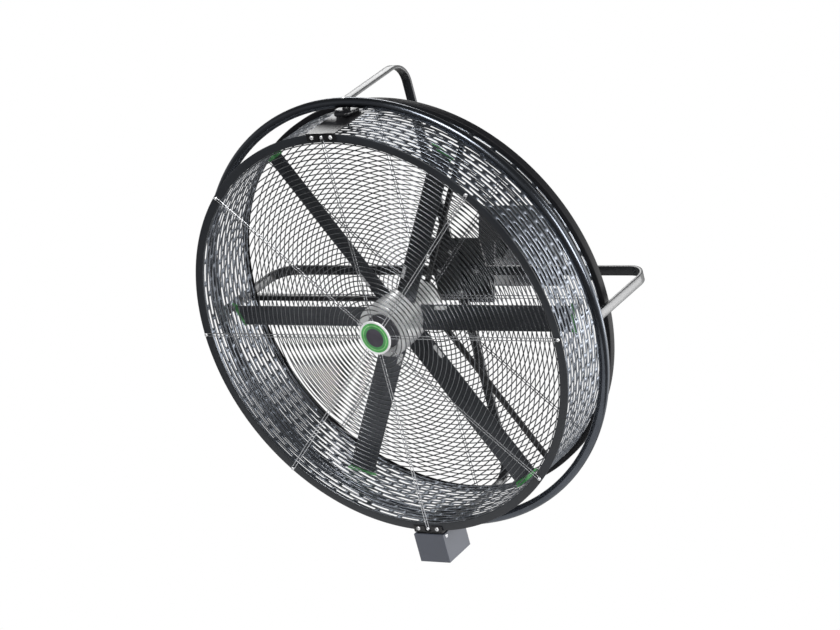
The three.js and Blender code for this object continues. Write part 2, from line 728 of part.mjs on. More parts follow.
function hubProfile(grown = 0) {
  return [
    [hubFrontRadius - hubChamfer + grown, hubFront - grown],
    [hubFrontRadius + grown, hubFront + hubChamfer],
    [hubRearRadius + grown, hubRear + grown],
  ];
}

function makeHub() {
  const rim = hubDiscRadius + clearance;
  return turned([
    [bearingRadius, hubWallFront], [rim, hubWallFront], [rim, hubFront],
    ...hubProfile(),
    [bearingRadius, hubRear], [bearingRadius, hubBackWall],
    [hubRearRadius - hubSheet, hubBackWall], [hubFrontRadius - hubSheet, hubWallBack], [bearingRadius, hubWallBack],
  ], hubFacets);
}

// Aerofoil: flat side to the front, rounded leading edge, thin trailing edge.
function aerofoil(chord, thickness) {
  const stations = [0, 0.03, 0.1, 0.22, 0.4, 0.62, 0.84, 1];
  const camber = [0, 0.5, 0.82, 0.98, 1, 0.78, 0.4, 0.1];
  const back = stations.map((s, i) => new THREE.Vector2(chord * (0.5 - s), -thickness * camber[i] * 0.8));
  const front = stations.map((s, i) => new THREE.Vector2(chord * (0.5 - s), thickness * camber[i] * 0.2)).slice(1);
  return new THREE.Shape([...back, ...front.reverse()]);
}

const chordDirection = new THREE.Vector3(0, Math.sin(degrees(bladePitch)), Math.cos(degrees(bladePitch)));
const faceDirection = new THREE.Vector3(0, -Math.cos(degrees(bladePitch)), Math.sin(degrees(bladePitch)));
const outwards = new THREE.Vector3(1, 0, 0);
const bladeTip = drumRadius - tipRoom - wingletReach;

function makeBlade(angle) {
  const start = hubRearRadius - 20;
  const bar = new THREE.ExtrudeGeometry(aerofoil(bladeChord, bladeThickness),
    { depth: bladeTip - start, bevelEnabled: false });
  bar.applyMatrix4(new THREE.Matrix4().makeBasis(chordDirection, faceDirection, outwards));
  bar.translate(start, bladePlane, 0);
  const grown = [[0, hubFront - 1], ...hubProfile(clearance), [0, hubRear + clearance]]
    .map(([radius, y]) => new THREE.Vector2(radius, y));
  const hub = new THREE.LatheGeometry(grown, hubFacets);
  return surface(solid(bar).subtract(solid(hub))).rotateY(-degrees(angle));
}

// A raked tip: longest at the trailing edge. It overhangs the blade at both edges.
function makeWinglet(angle) {
  const half = bladeChord / 2;
  const start = bladeTip + clearance;
  const shape = new THREE.Shape();
  shape.moveTo(start, -half);
  shape.lineTo(start + wingletReach * wingletShoulder, -half - wingletSweep * wingletRise);
  shape.lineTo(start + wingletReach, -half - wingletSweep);
  shape.quadraticCurveTo(start + wingletReach + wingletBulge, 0, start + wingletLead, half + wingletNose);
  shape.lineTo(start, half);
  const tip = new THREE.ExtrudeGeometry(shape, { depth: wingletThickness, bevelEnabled: false, curveSegments: 4 });
  tip.translate(0, 0, -wingletThickness / 2 - bladeThickness * wingletSet);
  tip.applyMatrix4(new THREE.Matrix4().makeBasis(outwards, chordDirection, faceDirection));
  return tip.translate(0, bladePlane, 0).rotateY(-degrees(angle));
}

addPiece(fan, 'hub', makeHub(), polished);
addPiece(fan, 'hub_disc', steppedPin([
  [hubDiscRadius, hubFront + hubDiscSet, hubFront + hubDiscSet + hubDiscThickness]], hubFacets), darkPlastic);
for (let k = 0; k < bladeCount; k += 1) {
  const angle = 360 / bladeCount * k;
  addPiece(fan, `blade_${k + 1}`, makeBlade(angle), anodised);
  addPiece(fan, `winglet_${k + 1}`, makeWinglet(angle), greenPlastic);
}

export default drumFan;
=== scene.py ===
# %% [markdown]
# # A drum fan on a wall mount
#
# The fan is a slotted sheet drum, 1.8 m across, with a wire guard on each face and a six-bladed
# rotor inside. It swivels in a round hoop, and the hoop hangs on two bent bars that tilt on the
# wall mount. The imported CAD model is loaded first. Its solids fix every place and size here, and
# each visible one is then stood for by a finer piece.

# %% Load the CAD frame
import math

import bmesh
import bpy
from mathutils import Matrix, Vector


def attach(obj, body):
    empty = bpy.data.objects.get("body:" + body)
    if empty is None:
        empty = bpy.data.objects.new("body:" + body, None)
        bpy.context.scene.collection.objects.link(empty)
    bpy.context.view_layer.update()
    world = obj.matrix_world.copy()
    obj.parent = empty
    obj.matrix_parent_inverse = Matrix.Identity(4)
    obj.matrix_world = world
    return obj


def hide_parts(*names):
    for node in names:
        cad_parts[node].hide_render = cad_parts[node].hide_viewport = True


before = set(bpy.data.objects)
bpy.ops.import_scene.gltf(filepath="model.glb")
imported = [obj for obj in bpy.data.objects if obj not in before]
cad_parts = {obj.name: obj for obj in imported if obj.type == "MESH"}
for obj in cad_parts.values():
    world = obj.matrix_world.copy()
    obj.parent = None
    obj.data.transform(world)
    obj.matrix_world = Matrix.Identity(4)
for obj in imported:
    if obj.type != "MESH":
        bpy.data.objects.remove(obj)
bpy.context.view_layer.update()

# %% [markdown]
# ## Two frames of measure
#
# The drum hangs face down by 25.4 degrees, so it would be awkward to draw in the wall's frame.
# Every piece of the fan is drawn in millimetres in the drum's own frame: origin in the middle of
# the drum, y along the air flow with the front at -y, z along the swivel pins. One matrix then
# sets it on the tilt pin in metres. The wall mount is drawn in millimetres in the wall's frame.

# %% The matrices that set a drawing in its place
MM = 0.001
CLEARANCE = 0.3                    # left between pieces that only touch, in mm
TILT = math.radians(25.4)
TILT_PIN = Vector((0, -0.428, -0.086))
DRUM_TO_TILT_PIN = 510
ON_DRUM = (Matrix.Translation(TILT_PIN) @ Matrix.Rotation(TILT, 4, "X")
           @ Matrix.Translation((0, -DRUM_TO_TILT_PIN * MM, 0)) @ Matrix.Scale(MM, 4))
ON_WALL = Matrix.Scale(MM, 4)
DRUM_CENTRE = ON_DRUM @ Vector((0, 0, 0))
print("middle of the drum (m):", [round(c, 4) for c in DRUM_CENTRE])

# %% [markdown]
# ## Camera
#
# The picture is taken from the right and level with the drum, through a long lens, so the far
# side of the drum is hardly smaller than the near side. The place and the lens come from fitting
# the drum's two rims, which are true circles, to the photograph. Three directions give its turn.

# %% Make the camera
CAMERA_PLACE = Vector((8.338, -12.541, -0.228))
CAMERA_RIGHT = Vector((0.8162, 0.5778, 0.0068)).normalized()
CAMERA_FORWARD = Vector((-0.5777, 0.8162, -0.0051)).normalized()
CAMERA_LENS = 148.47

camera_data = bpy.data.cameras.new("camera")
camera_data.lens = CAMERA_LENS
camera_data.sensor_width = 36
camera_data.clip_end = 100
camera = bpy.data.objects.new("camera", camera_data)
bpy.context.scene.collection.objects.link(camera)
camera_up = CAMERA_RIGHT.cross(CAMERA_FORWARD).normalized()
turn = Matrix((CAMERA_RIGHT, camera_up, CAMERA_RIGHT.cross(camera_up))).transposed()
camera.matrix_world = Matrix.Translation(CAMERA_PLACE) @ turn.to_4x4()
bpy.context.scene.camera = camera
print("camera looks along:", [round(c, 3) for c in (turn @ Vector((0, 0, -1)))])

# %% [markdown]
# ## Writing node trees
#
# Finishes and repeated pieces are node trees. One small class adds any node in one call: its
# type, its settings, and what goes in its sockets. What comes back is a wire that knows how to do
# sums, so `1 - worn * 0.4` adds the Math nodes by itself. Shader and geometry trees share it.

# %% A wire and a tree
class Wire:
    """An output socket of a tree. Sums on it add Math nodes."""

    def __init__(self, tree, socket):
        self.tree, self.socket = tree, socket

    def out(self, name):
        return Wire(self.tree, self.socket.node.outputs[name])

    def sum(self, kind, *parts):
        return self.tree.add("ShaderNodeMath", {"operation": kind}, dict(enumerate(parts)))

    def __add__(self, other): return self.sum("ADD", self, other)
    def __radd__(self, other): return self.sum("ADD", other, self)
    def __sub__(self, other): return self.sum("SUBTRACT", self, other)
    def __rsub__(self, other): return self.sum("SUBTRACT", other, self)
    def __mul__(self, other): return self.sum("MULTIPLY", self, other)
    def __rmul__(self, other): return self.sum("MULTIPLY", other, self)
    def __truediv__(self, other): return self.sum("DIVIDE", self, other)
    def __rtruediv__(self, other): return self.sum("DIVIDE", other, self)
    def __mod__(self, other): return self.sum("FLOORED_MODULO", self, other)
    def floor(self): return self.sum("FLOOR", self)
    def sin(self): return self.sum("SINE", self)
    def cos(self): return self.sum("COSINE", self)


class Tree:
    """A shader or geometry node tree that is written one call a node."""

    def __init__(self, tree):
        self.tree = tree

    def add(self, kind, settings=None, sockets=None, out=0):
        node = self.tree.nodes.new(kind)
        for key, value in (settings or {}).items():
            if key == "stops":
                ramp = node.color_ramp.elements
                while len(ramp) < len(value):
                    ramp.new(1)
                for element, (place, colour) in zip(ramp, value):
                    element.position, element.color = place, colour
            else:
                setattr(node, key, value)
        for key, value in (sockets or {}).items():
            socket = (node.inputs[key] if isinstance(key, int)
                      else next(s for s in node.inputs if s.name == key and s.enabled))
            for one in (value if isinstance(value, list) else [value]):
                if isinstance(one, Wire):
                    self.tree.links.new(one.socket, socket)
                else:
                    socket.default_value = one
        return Wire(self, node.outputs[out]) if len(node.outputs) else node

    def xyz(self, x=0, y=0, z=0):
        return self.add("ShaderNodeCombineXYZ", None, {"X": x, "Y": y, "Z": z})

    def split(self, vector):
        x = self.add("ShaderNodeSeparateXYZ", None, {0: vector})
        return x, x.out("Y"), x.out("Z")

# %% [markdown]
# ## Floor and light
#
# The real picture is a fan on plain white, as if cut out. The floor is a pale sheet below the drum,
# just under the picture's edge. To the eye the surroundings are white. What the metal mirrors is
# another matter: the highlights in the photograph show a dark studio with a bright band round the
# horizon, brightest behind, and one bright wall behind at the right. So the sky is drawn for the
# mirror, and the soft lamps add the broad light on paint. The floor ends a short way in front of
# the drum, so that the lower right blade mirrors the dark studio.

# %% Floor
FLOOR_HEIGHT = -1.95
FLOOR_LEFT, FLOOR_RIGHT, FLOOR_NEAR, FLOOR_FAR = 2.2, 1.66, 1.3, 1.66       # from the drum's middle

cx, cy = DRUM_CENTRE.x, DRUM_CENTRE.y
floor_mesh = bpy.data.meshes.new("floor")
corners = [(cx - FLOOR_LEFT, cy - FLOOR_NEAR), (cx + FLOOR_RIGHT, cy - FLOOR_NEAR),
           (cx + FLOOR_RIGHT, cy + FLOOR_FAR), (cx - FLOOR_LEFT, cy + FLOOR_FAR)]
floor_mesh.from_pydata([(x, y, FLOOR_HEIGHT) for x, y in corners], [], [(0, 1, 2, 3)])
floor = bpy.data.objects.new("floor", floor_mesh)
bpy.context.scene.collection.objects.link(floor)
floor_material = bpy.data.materials.new("pale_floor")
floor_material.use_nodes = True
floor_material.node_tree.nodes["Principled BSDF"].inputs["Base Color"].default_value = (0.93, 0.93, 0.93, 1)
floor_material.node_tree.nodes["Principled BSDF"].inputs["Roughness"].default_value = 0.9
floor_mesh.materials.append(floor_material)

# %% Sky: white to the eye, drawn for what the metal mirrors
sky = bpy.data.worlds.new("studio")
sky.use_nodes = True
bpy.context.scene.world = sky
sky.node_tree.nodes.clear()
air = Tree(sky.node_tree)
direction = air.add("ShaderNodeTexCoord", out="Generated")
_, backward, upward = air.split(direction)


def ramp(tree, factor, *stops):
    """Grey stops of (place, brightness)."""
    return tree.add("ShaderNodeValToRGB", {"stops": [(place, (b, b, b, 1)) for place, b in stops]}, {"Fac": factor})


def patch(towards, outer, inner, brightness):
    """A soft round patch of light in one direction, between two angles in degrees."""
    facing = air.add("ShaderNodeVectorMath", {"operation": "DOT_PRODUCT"},
                     {0: direction, 1: tuple(Vector(towards).normalized())}, out="Value")
    return ramp(air, facing, (math.cos(math.radians(outer)), 0.0), (math.cos(math.radians(inner)), brightness))

band = ramp(air, upward * 0.5 + 0.5,
            (0.30, 0.30), (0.45, 0.45), (0.50, 0.60), (0.56, 0.55), (0.66, 0.28), (0.80, 0.16))
behind = ramp(air, backward * 0.5 + 0.5, (0.12, 0.45), (0.50, 0.60), (0.80, 1.0))
wall = patch((0.58, 0.82, 0.0), 40, 18, 1.5)
glow = band * behind + wall
lit = air.add("ShaderNodeBackground", None, {"Color": glow, "Strength": 1.0})
white = air.add("ShaderNodeBackground", None, {"Color": (1, 1, 1, 1), "Strength": 1.0})
seen = air.add("ShaderNodeLightPath", out="Is Camera Ray")
both = air.add("ShaderNodeMixShader", None, {0: seen, 1: lit, 2: white})
air.add("ShaderNodeOutputWorld", None, {"Surface": both})
bpy.context.scene.view_settings.view_transform = "Standard"
print("sky nodes:", len(sky.node_tree.nodes))

# %% Soft lamps
def soft_lamp(name, place, size, power, colour=(1, 1, 1)):
    data = bpy.data.lights.new(name, "AREA")
    data.shape, data.size, data.size_y = "RECTANGLE", size[0], size[1]
    data.energy, data.color = power, colour
    lamp = bpy.data.objects.new(name, data)
    bpy.context.scene.collection.objects.link(lamp)
    aim = Vector((0, -0.8, -0.3)) - Vector(place)
    lamp.matrix_world = Matrix.Translation(place) @ aim.to_track_quat("-Z", "Y").to_matrix().to_4x4()
    return lamp

soft_lamp("key_lamp", (1.0, -9.0, 4.5), (4.0, 3.0), 700)
soft_lamp("side_lamp", (8.0, -2.5, 1.0), (2.5, 4.0), 420)
soft_lamp("back_lamp", (4.3, 4.2, -0.2), (1.9, 1.4), 58)
soft_lamp("high_lamp", (-2.8, 2.1, 3.9), (2.2, 1.6), 50)

# %% [markdown]
# ## Finishes
#
# Every finish is a Principled shader whose colour, roughness and bump come from noise at the size
# the real surface has: orange peel in powder coat, streaks left by rolling and extruding, turning
# marks on the hub, the mottle of moulded plastic. Patterns are read in the drum's frame, so that
# marks run round the drum's axis and not round the wall's.

# %% A finish, and the drum's own directions
finishes = {}


def new_finish(name, metallic=0.0, specular=0.5, coat=0.0):
    material = bpy.data.materials.new(name)
    material.use_nodes = True
    material.node_tree.nodes.clear()
    tree = Tree(material.node_tree)
    shader = tree.add("ShaderNodeBsdfPrincipled", None, {
        "Metallic": metallic, "Specular IOR Level": specular, "Coat Weight": coat, "Coat Roughness": 0.12})
    tree.add("ShaderNodeOutputMaterial", None, {"Surface": shader})
    finishes[name] = material
    return material, tree, shader.socket.node


def in_drum(tree):
    """Object coordinates turned into the drum's frame, in metres."""
    place = tree.add("ShaderNodeTexCoord", out="Object")
    return tree.add("ShaderNodeMapping", {"vector_type": "TEXTURE"},
                    {"Vector": place, "Location": tuple(DRUM_CENTRE), "Rotation": (TILT, 0, 0)})


def feed(tree, shader, **wires):
    for socket, wire in wires.items():
        tree.tree.links.new(wire.socket, shader.inputs[socket.replace("_", " ")])


def noise(tree, place, scale, detail=3.0, rough=0.5, out="Fac"):
    return tree.add("ShaderNodeTexNoise", None,
                    {"Vector": place, "Scale": scale, "Detail": detail, "Roughness": rough}, out=out)


def stretched(tree, place, amounts):
    return tree.add("ShaderNodeVectorMath", {"operation": "MULTIPLY"}, {0: place, 1: amounts})


def colours(tree, factor, *stops):
    return tree.add("ShaderNodeValToRGB", {"stops": [(p, (*c, 1)) for p, c in stops]}, {"Fac": factor})


def bumped(tree, height, distance, strength=1.0):
    return tree.add("ShaderNodeBump", None, {"Height": height, "Distance": distance, "Strength": strength})

# %% Powder coat: satin and gloss black, and the greyer coats
def powder_coat(name, dark, light, rough, peel=0.000008, dusty=0.10, specular=0.5):
    material, tree, shader = new_finish(name, specular=specular)
    place = in_drum(tree)
    broad = noise(tree, place, 3.0, 4.0)
    fine = noise(tree, place, 420.0, 2.0)
    feed(tree, shader,
         Base_Color=colours(tree, broad * 0.7 + fine * 0.3, (0.35, dark), (0.68, light)),
         Roughness=rough - dusty / 2 + broad * dusty + fine * 0.05,
         Normal=bumped(tree, fine, peel))
    return material

powder_coat("black_paint", (0.006, 0.006, 0.007), (0.012, 0.012, 0.014), 0.26)
powder_coat("gloss_paint", (0.014, 0.015, 0.017), (0.022, 0.024, 0.027), 0.20, dusty=0.04)
powder_coat("ring_paint", (0.014, 0.016, 0.020), (0.024, 0.027, 0.032), 0.34)
powder_coat("lip_paint", (0.004, 0.004, 0.005), (0.009, 0.009, 0.011), 0.50, specular=0.25)
powder_coat("grey_paint", (0.074, 0.081, 0.102), (0.100, 0.109, 0.134), 0.42)
powder_coat("cover_paint", (0.085, 0.083, 0.095), (0.115, 0.113, 0.128), 0.34)
powder_coat("mount_paint", (0.040, 0.040, 0.044), (0.062, 0.063, 0.068), 0.38)
print("paints:", sorted(finishes))

# %% Bare metals: drawn along one direction, or turned round the drum's axis
def bare_metal(name, dark, light, rough, grain, spread, depth=0.00002, scale=60.0, metallic=1.0):
    """`grain` says how much finer the marks are along x, y and z of the drum."""
    material, tree, shader = new_finish(name, metallic=metallic)
    place = in_drum(tree)
    marks = noise(tree, stretched(tree, place, grain), scale, 4.0, 0.6)
    cloud = noise(tree, place, 5.0, 3.0)
    feed(tree, shader,
         Base_Color=colours(tree, marks * 0.5 + cloud * 0.5, (0.30, dark), (0.70, light)),
         Roughness=rough - spread / 2 + marks * spread * 0.6 + cloud * spread * 0.4,
         Normal=bumped(tree, marks, depth))
    return material

bare_metal("steel", (0.84, 0.85, 0.86), (0.95, 0.95, 0.96), 0.42, (1, 1, 1), 0.12)
bare_metal("hoop_steel", (0.085, 0.093, 0.108), (0.125, 0.137, 0.158), 0.22, (1, 1, 1), 0.06, 0.000006, 8.0)
bare_metal("zinc_wire", (0.105, 0.110, 0.118), (0.190, 0.196, 0.208), 0.20, (1, 1, 1), 0.10, scale=200)
bare_metal("bright_wire", (0.56, 0.57, 0.59), (0.76, 0.77, 0.79), 0.26, (1, 1, 1), 0.12, scale=200)
bare_metal("bright_plate", (0.86, 0.87, 0.88), (0.95, 0.95, 0.96), 0.28, (1, 6, 1), 0.12, metallic=0.35)
bare_metal("copper_winding", (0.50, 0.21, 0.11), (0.68, 0.32, 0.17), 0.38, (1, 40, 1), 0.15, 0.0003, 8)


def sheet_metal():
    """Bright rolled sheet. The rolling marks run round the drum, so the noise is finest along y."""
    material, tree, shader = new_finish("galvanised_sheet", metallic=1.0)
    place = in_drum(tree)
    marks = noise(tree, stretched(tree, place, (1.0, 60.0, 1.0)), 6.0, 5.0, 0.6)
    cloud = noise(tree, place, 2.2, 3.0, 0.55)
    feed(tree, shader,
         Base_Color=colours(tree, cloud * 0.65 + marks * 0.35,
                            (0.32, (0.16, 0.18, 0.21)), (0.66, (0.32, 0.345, 0.39))),
         Roughness=0.24 + cloud * 0.16 + marks * 0.06,
         Normal=bumped(tree, marks, 0.000006))
    return material


def turned_metal():
    """The hub and the casing are spun and polished: fine rings round the axis, finest along y."""
    material, tree, shader = new_finish("polished_aluminium", metallic=0.15, coat=0.5)
    x, y, z = tree.split(in_drum(tree))
    radius = (x * x + z * z).sum("POWER", x * x + z * z, 0.5)
    rings = noise(tree, tree.xyz(radius * 900, y * 900, 0), 1.0, 3.0, 0.6)
    cloud = noise(tree, tree.xyz(x, y, z), 7.0, 3.0)
    feed(tree, shader,
         Base_Color=colours(tree, rings * 0.4 + cloud * 0.6,
                            (0.3, (0.92, 0.93, 0.94)), (0.7, (0.98, 0.98, 0.98))),
         Roughness=0.25 + rings * 0.06 + cloud * 0.04,
         Normal=bumped(tree, rings, 0.000008))
    return material

sheet_metal()
turned_metal()
print("metals:", len(finishes))

# %% Extruded and anodised blades, lined along their length
BLADE_PLACE = "blade_place"        # each blade stores its own x (outwards) and z (across) here, in metres


def anodised():
    material, tree, shader = new_finish("anodised_aluminium", metallic=0.9)
    along = tree.add("ShaderNodeAttribute", {"attribute_name": BLADE_PLACE}, out="Vector")
    lines = noise(tree, stretched(tree, along, (2.0, 160.0, 160.0)), 4.0, 4.0, 0.62)
    cloud = noise(tree, along, 6.0, 3.0)
    feed(tree, shader,
         Base_Color=colours(tree, lines * 0.75 + cloud * 0.25,
                            (0.30, (0.050, 0.053, 0.060)), (0.70, (0.135, 0.141, 0.154))),
         Roughness=0.27 + lines * 0.12,
         Normal=bumped(tree, lines, 0.00010))
    return material

anodised()

# %% Moulded plastics
def moulded(name, dark, light, rough, scale, specular=0.5):
    material, tree, shader = new_finish(name, specular=specular)
    place = in_drum(tree)
    mottle = noise(tree, place, scale, 4.0, 0.55)
    grain = noise(tree, place, 900.0, 2.0)
    feed(tree, shader,
         Base_Color=colours(tree, mottle, (0.40, dark), (0.60, light)),
         Roughness=rough - 0.04 + mottle * 0.10 + grain * 0.04,
         Normal=bumped(tree, grain, 0.00003))
    return material

moulded("green_plastic", (0.050, 0.240, 0.070), (0.200, 0.560, 0.220), 0.36, 26.0)
moulded("dark_plastic", (0.008, 0.008, 0.009), (0.016, 0.016, 0.018), 0.22, 30.0)
moulded("badge_green", (0.080, 0.380, 0.095), (0.115, 0.480, 0.135), 0.36, 40.0)
moulded("badge_line", (0.300, 0.620, 0.260), (0.420, 0.760, 0.360), 0.36, 40.0)
moulded("badge_deep_green", (0.060, 0.270, 0.080), (0.090, 0.360, 0.115), 0.36, 40.0)
moulded("badge_dark", (0.052, 0.045, 0.062), (0.076, 0.067, 0.090), 0.36, 12.0)
print("finishes:", sorted(finishes))

# %% [markdown]
# ## Making and placing pieces
#
# A drawing is a list of points and faces. Four ways of drawing make nearly everything here: turn a
# profile about the drum's axis, give an outline a thickness, run a section along a path, and let a
# geometry tree repeat a drawing. Each piece ends as one mesh, already in its place, whose object
# sits at the origin, so a pattern on it never slides.

# %% Outlines with rounded corners
def rounded(points, radius, steps=4):
    """A closed outline with its corners rounded. `radius` is one number or one for each corner."""
    count = len(points)
    radii = radius if isinstance(radius, (list, tuple)) else [radius] * count
    ring = []
    for i, corner in enumerate(map(Vector, points)):
        back, on = Vector(points[i - 1]) - corner, Vector(points[(i + 1) % count]) - corner
        turn_angle = back.angle(on)
        reach = radii[i] / math.tan(turn_angle / 2) if radii[i] else 0
        reach = min(reach, back.length * 0.49, on.length * 0.49)
        if reach < 1e-6:
            ring.append(tuple(corner))
            continue
        r = reach * math.tan(turn_angle / 2)
        middle = corner + (back.normalized() + on.normalized()).normalized() * (r / math.sin(turn_angle / 2))
        start, end = corner + back.normalized() * reach - middle, corner + on.normalized() * reach - middle
        sweep = math.atan2(start.x * end.y - start.y * end.x, start.dot(end))
        for k in range(steps + 1):
            a = sweep * k / steps
            ring.append((middle.x + start.x * math.cos(a) - start.y * math.sin(a),
                         middle.y + start.x * math.sin(a) + start.y * math.cos(a)))
    return ring


def rectangle(width, height, x=0.0, y=0.0):
    return [(x - width / 2, y - height / 2), (x + width / 2, y - height / 2),
            (x + width / 2, y + height / 2), (x - width / 2, y + height / 2)]

# %% Drawings: turned, thick outline, and a section run along a path
def turned(profile, segments):
    """A closed profile of (radius, y) turned about the drum's axis."""
    points, faces = [], []
    n = len(profile)
    for k in range(segments):
        a = 2 * math.pi * k / segments
        points += [(r * math.cos(a), y, r * math.sin(a)) for r, y in profile]
        following = (k + 1) % segments
        faces += [(k * n + i, k * n + (i + 1) % n, following * n + (i + 1) % n, following * n + i) for i in range(n)]
    return points, faces


def thick(outline, thickness, to_space):
    """An outline (u, v) made `thickness` deep. `to_space` gives the point for u, v and depth."""
    n = len(outline)
    points = [to_space(u, v, d) for d in (0, thickness) for u, v in outline]
    faces = [tuple(range(n))[::-1], tuple(range(n, 2 * n))]
    faces += [(i, (i + 1) % n, n + (i + 1) % n, n + i) for i in range(n)]
    return points, faces


def along(path, section, side_way, closed=False):
    """A closed section (across, side) run along a path of points that lies in one plane."""
    points, faces = [], []
    n, count = len(section), len(path)
    path, side_way = [Vector(p) for p in path], Vector(side_way)
    for i, point in enumerate(path):
        before = path[i - 1] if (i or closed) else point
        after = path[(i + 1) % count] if (i + 1 < count or closed) else point
        first, second = (point - before).normalized(), (after - point).normalized()
        forward = (first + second).normalized()
        across = forward.cross(side_way).normalized()
        wider = 1 / max(0.2, math.cos(first.angle(second) / 2)) if first.length and second.length else 1
        points += [tuple(point + across * (u * wider) + side_way * v) for u, v in section]
    for i in range(count if closed else count - 1):
        j = (i + 1) % count
        faces += [(i * n + k, i * n + (k + 1) % n, j * n + (k + 1) % n, j * n + k) for k in range(n)]
    if not closed:
        faces += [tuple(range(n)), tuple(range((count - 1) * n, count * n))[::-1]]
    return points, faces


def together(*drawings):
    points, faces = [], []
    for more_points, more_faces in drawings:
        shift = len(points)
        points += more_points
        faces += [tuple(i + shift for i in face) for face in more_faces]
    return points, faces


def moved(drawing, matrix):
    return [tuple(matrix @ Vector(p)) for p in drawing[0]], drawing[1]


def block(width, depth, height, x=0.0, y=0.0, z=0.0):
    return thick(rectangle(width, height, x, z), depth, lambda u, v, d: (u, y - depth / 2 + d, v))

# %% From a drawing to a placed piece
def as_mesh(name, drawing):
    mesh = bpy.data.meshes.new(name)
    mesh.from_pydata(drawing[0], [], drawing[1])
    shape = bmesh.new()
    shape.from_mesh(mesh)
    bmesh.ops.remove_doubles(shape, verts=shape.verts, dist=1e-4)
    bmesh.ops.recalc_face_normals(shape, faces=shape.faces)
    shape.to_mesh(mesh)
    shape.free()
    return mesh


def as_object(name, mesh):
    made = bpy.data.objects.new(name, mesh)
    bpy.context.scene.collection.objects.link(made)
    return made


def set_down(made, place, body, finish, slot, stands_for=(), soften=0.0, sharp=32, segments=2):
    """Sets the mesh in its place, gives it its finish, and says what it moves with."""
    made.data.transform(place)
    made.data.materials.clear()
    made.data.materials.append(finishes[finish])
    made.data.shade_smooth()
    made.data.set_sharp_from_angle(angle=math.radians(sharp))
    if soften:
        edge = made.modifiers.new("softened_edges", "BEVEL")
        edge.width, edge.segments, edge.limit_method = soften * MM, segments, "ANGLE"
        edge.angle_limit, edge.harden_normals = math.radians(sharp), True
    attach(made, body)
    if stands_for:
        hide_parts(*stands_for)
    return made


def piece(name, drawing, body, finish, slot, stands_for=(), place=ON_DRUM, **more):
    return set_down(as_object(name, as_mesh(name, drawing)), place, body, finish, slot, stands_for, **more)

# %% [markdown]
# ## Trees that repeat a drawing
#
# Slots, wires, bolts, blades and tips are each drawn once and repeated by geometry nodes. There
# are three rules: turned copies about the drum's axis, copies on given points, and the grid of
# slots wrapped round the drum. Copying in code would work too, but a tree keeps the numbers as
# named inputs. The result is made plain mesh at once.

# %% Run a tree on a drawing and keep the plain mesh
def new_geometry_tree(name, inputs):
    group = bpy.data.node_groups.new(name, "GeometryNodeTree")
    group.interface.new_socket("Geometry", in_out="INPUT", socket_type="NodeSocketGeometry")
    for label, kind in inputs.items():
        group.interface.new_socket(label, in_out="INPUT", socket_type="NodeSocket" + kind)
    group.interface.new_socket("Geometry", in_out="OUTPUT", socket_type="NodeSocketGeometry")
    tree = Tree(group)
    start = tree.add("NodeGroupInput")
    return tree, start


def end_tree(tree, geometry, material):
    real = tree.add("GeometryNodeRealizeInstances", None, {"Geometry": geometry})
    dressed = tree.add("GeometryNodeSetMaterial", None, {"Geometry": real, "Material": material})
    tree.add("NodeGroupOutput", None, {0: dressed})
    return tree.tree


def grown(name, mesh, group, values):
    """The plain mesh that the tree makes from `mesh`, with its inputs set to `values`."""
    source = as_object(name + "_source", mesh)
    modifier = source.modifiers.new(name, "NODES")
    modifier.node_group = group
    sockets = {item.name: item.identifier for item in group.interface.items_tree if item.in_out == "INPUT"}
    for label, value in values.items():
        modifier[sockets[label]] = value
    evaluated = source.evaluated_get(bpy.context.evaluated_depsgraph_get())
    mesh_made = bpy.data.meshes.new_from_object(evaluated)
    mesh_made.name = name
    source.modifiers.remove(modifier)
    bpy.data.objects.remove(source)
    print(f"{name}: {len(mesh_made.vertices)} points, {len(mesh_made.polygons)} faces")
    return mesh_made

# %% The tree for copies turned about the drum's axis
def turned_copies_tree():
    tree, start = new_geometry_tree("turned_copies", {"Count": "Int", "First angle": "Float", "Material": "Material"})
    spots = tree.add("GeometryNodeMeshLine", None,
                     {"Count": start.out("Count"), "Start Location": (0, 0, 0), "Offset": (0, 0, 0)})
    marked = tree.add("GeometryNodeStoreNamedAttribute", {"data_type": "FLOAT_VECTOR"},
                      {"Geometry": start.out("Geometry"), "Name": BLADE_PLACE,
                       "Value": tree.add("ShaderNodeVectorMath", {"operation": "SCALE"},
                                         {0: tree.add("GeometryNodeInputPosition"), "Scale": MM})})
    step = 2 * math.pi / start.out("Count")
    angle = tree.add("GeometryNodeInputIndex") * step + start.out("First angle")
    copies = tree.add("GeometryNodeInstanceOnPoints", None,
                      {"Points": spots, "Instance": marked, "Rotation": tree.xyz(0, -1 * angle, 0)})
    return end_tree(tree, copies, start.out("Material"))

TURNED_COPIES = turned_copies_tree()


def copies_round(name, drawing, count, material, first_angle=0.0):
    """`count` copies of a drawing at even angles from x towards z."""
    return grown(name, as_mesh(name, drawing), TURNED_COPIES,
                 {"Count": count, "First angle": first_angle, "Material": finishes[material]})

# %% The tree for copies on given points
def copies_on_points_tree():
    tree, start = new_geometry_tree("copies_on_points", {"Item": "Object", "Material": "Material"})
    item = tree.add("GeometryNodeObjectInfo", None, {"Object": start.out("Item")}, out="Geometry")
    copies = tree.add("GeometryNodeInstanceOnPoints", None, {"Points": start.out("Geometry"), "Instance": item})
    return end_tree(tree, copies, start.out("Material"))

COPIES_ON_POINTS = copies_on_points_tree()


def copies_on(name, drawing, points, material):
    item = as_object(name + "_item", as_mesh(name + "_item", drawing))
    spots = bpy.data.meshes.new(name + "_spots")
    spots.from_pydata(points, [], [])
    mesh = grown(name, spots, COPIES_ON_POINTS, {"Item": item, "Material": finishes[material]})
    bpy.data.objects.remove(item)
    return mesh

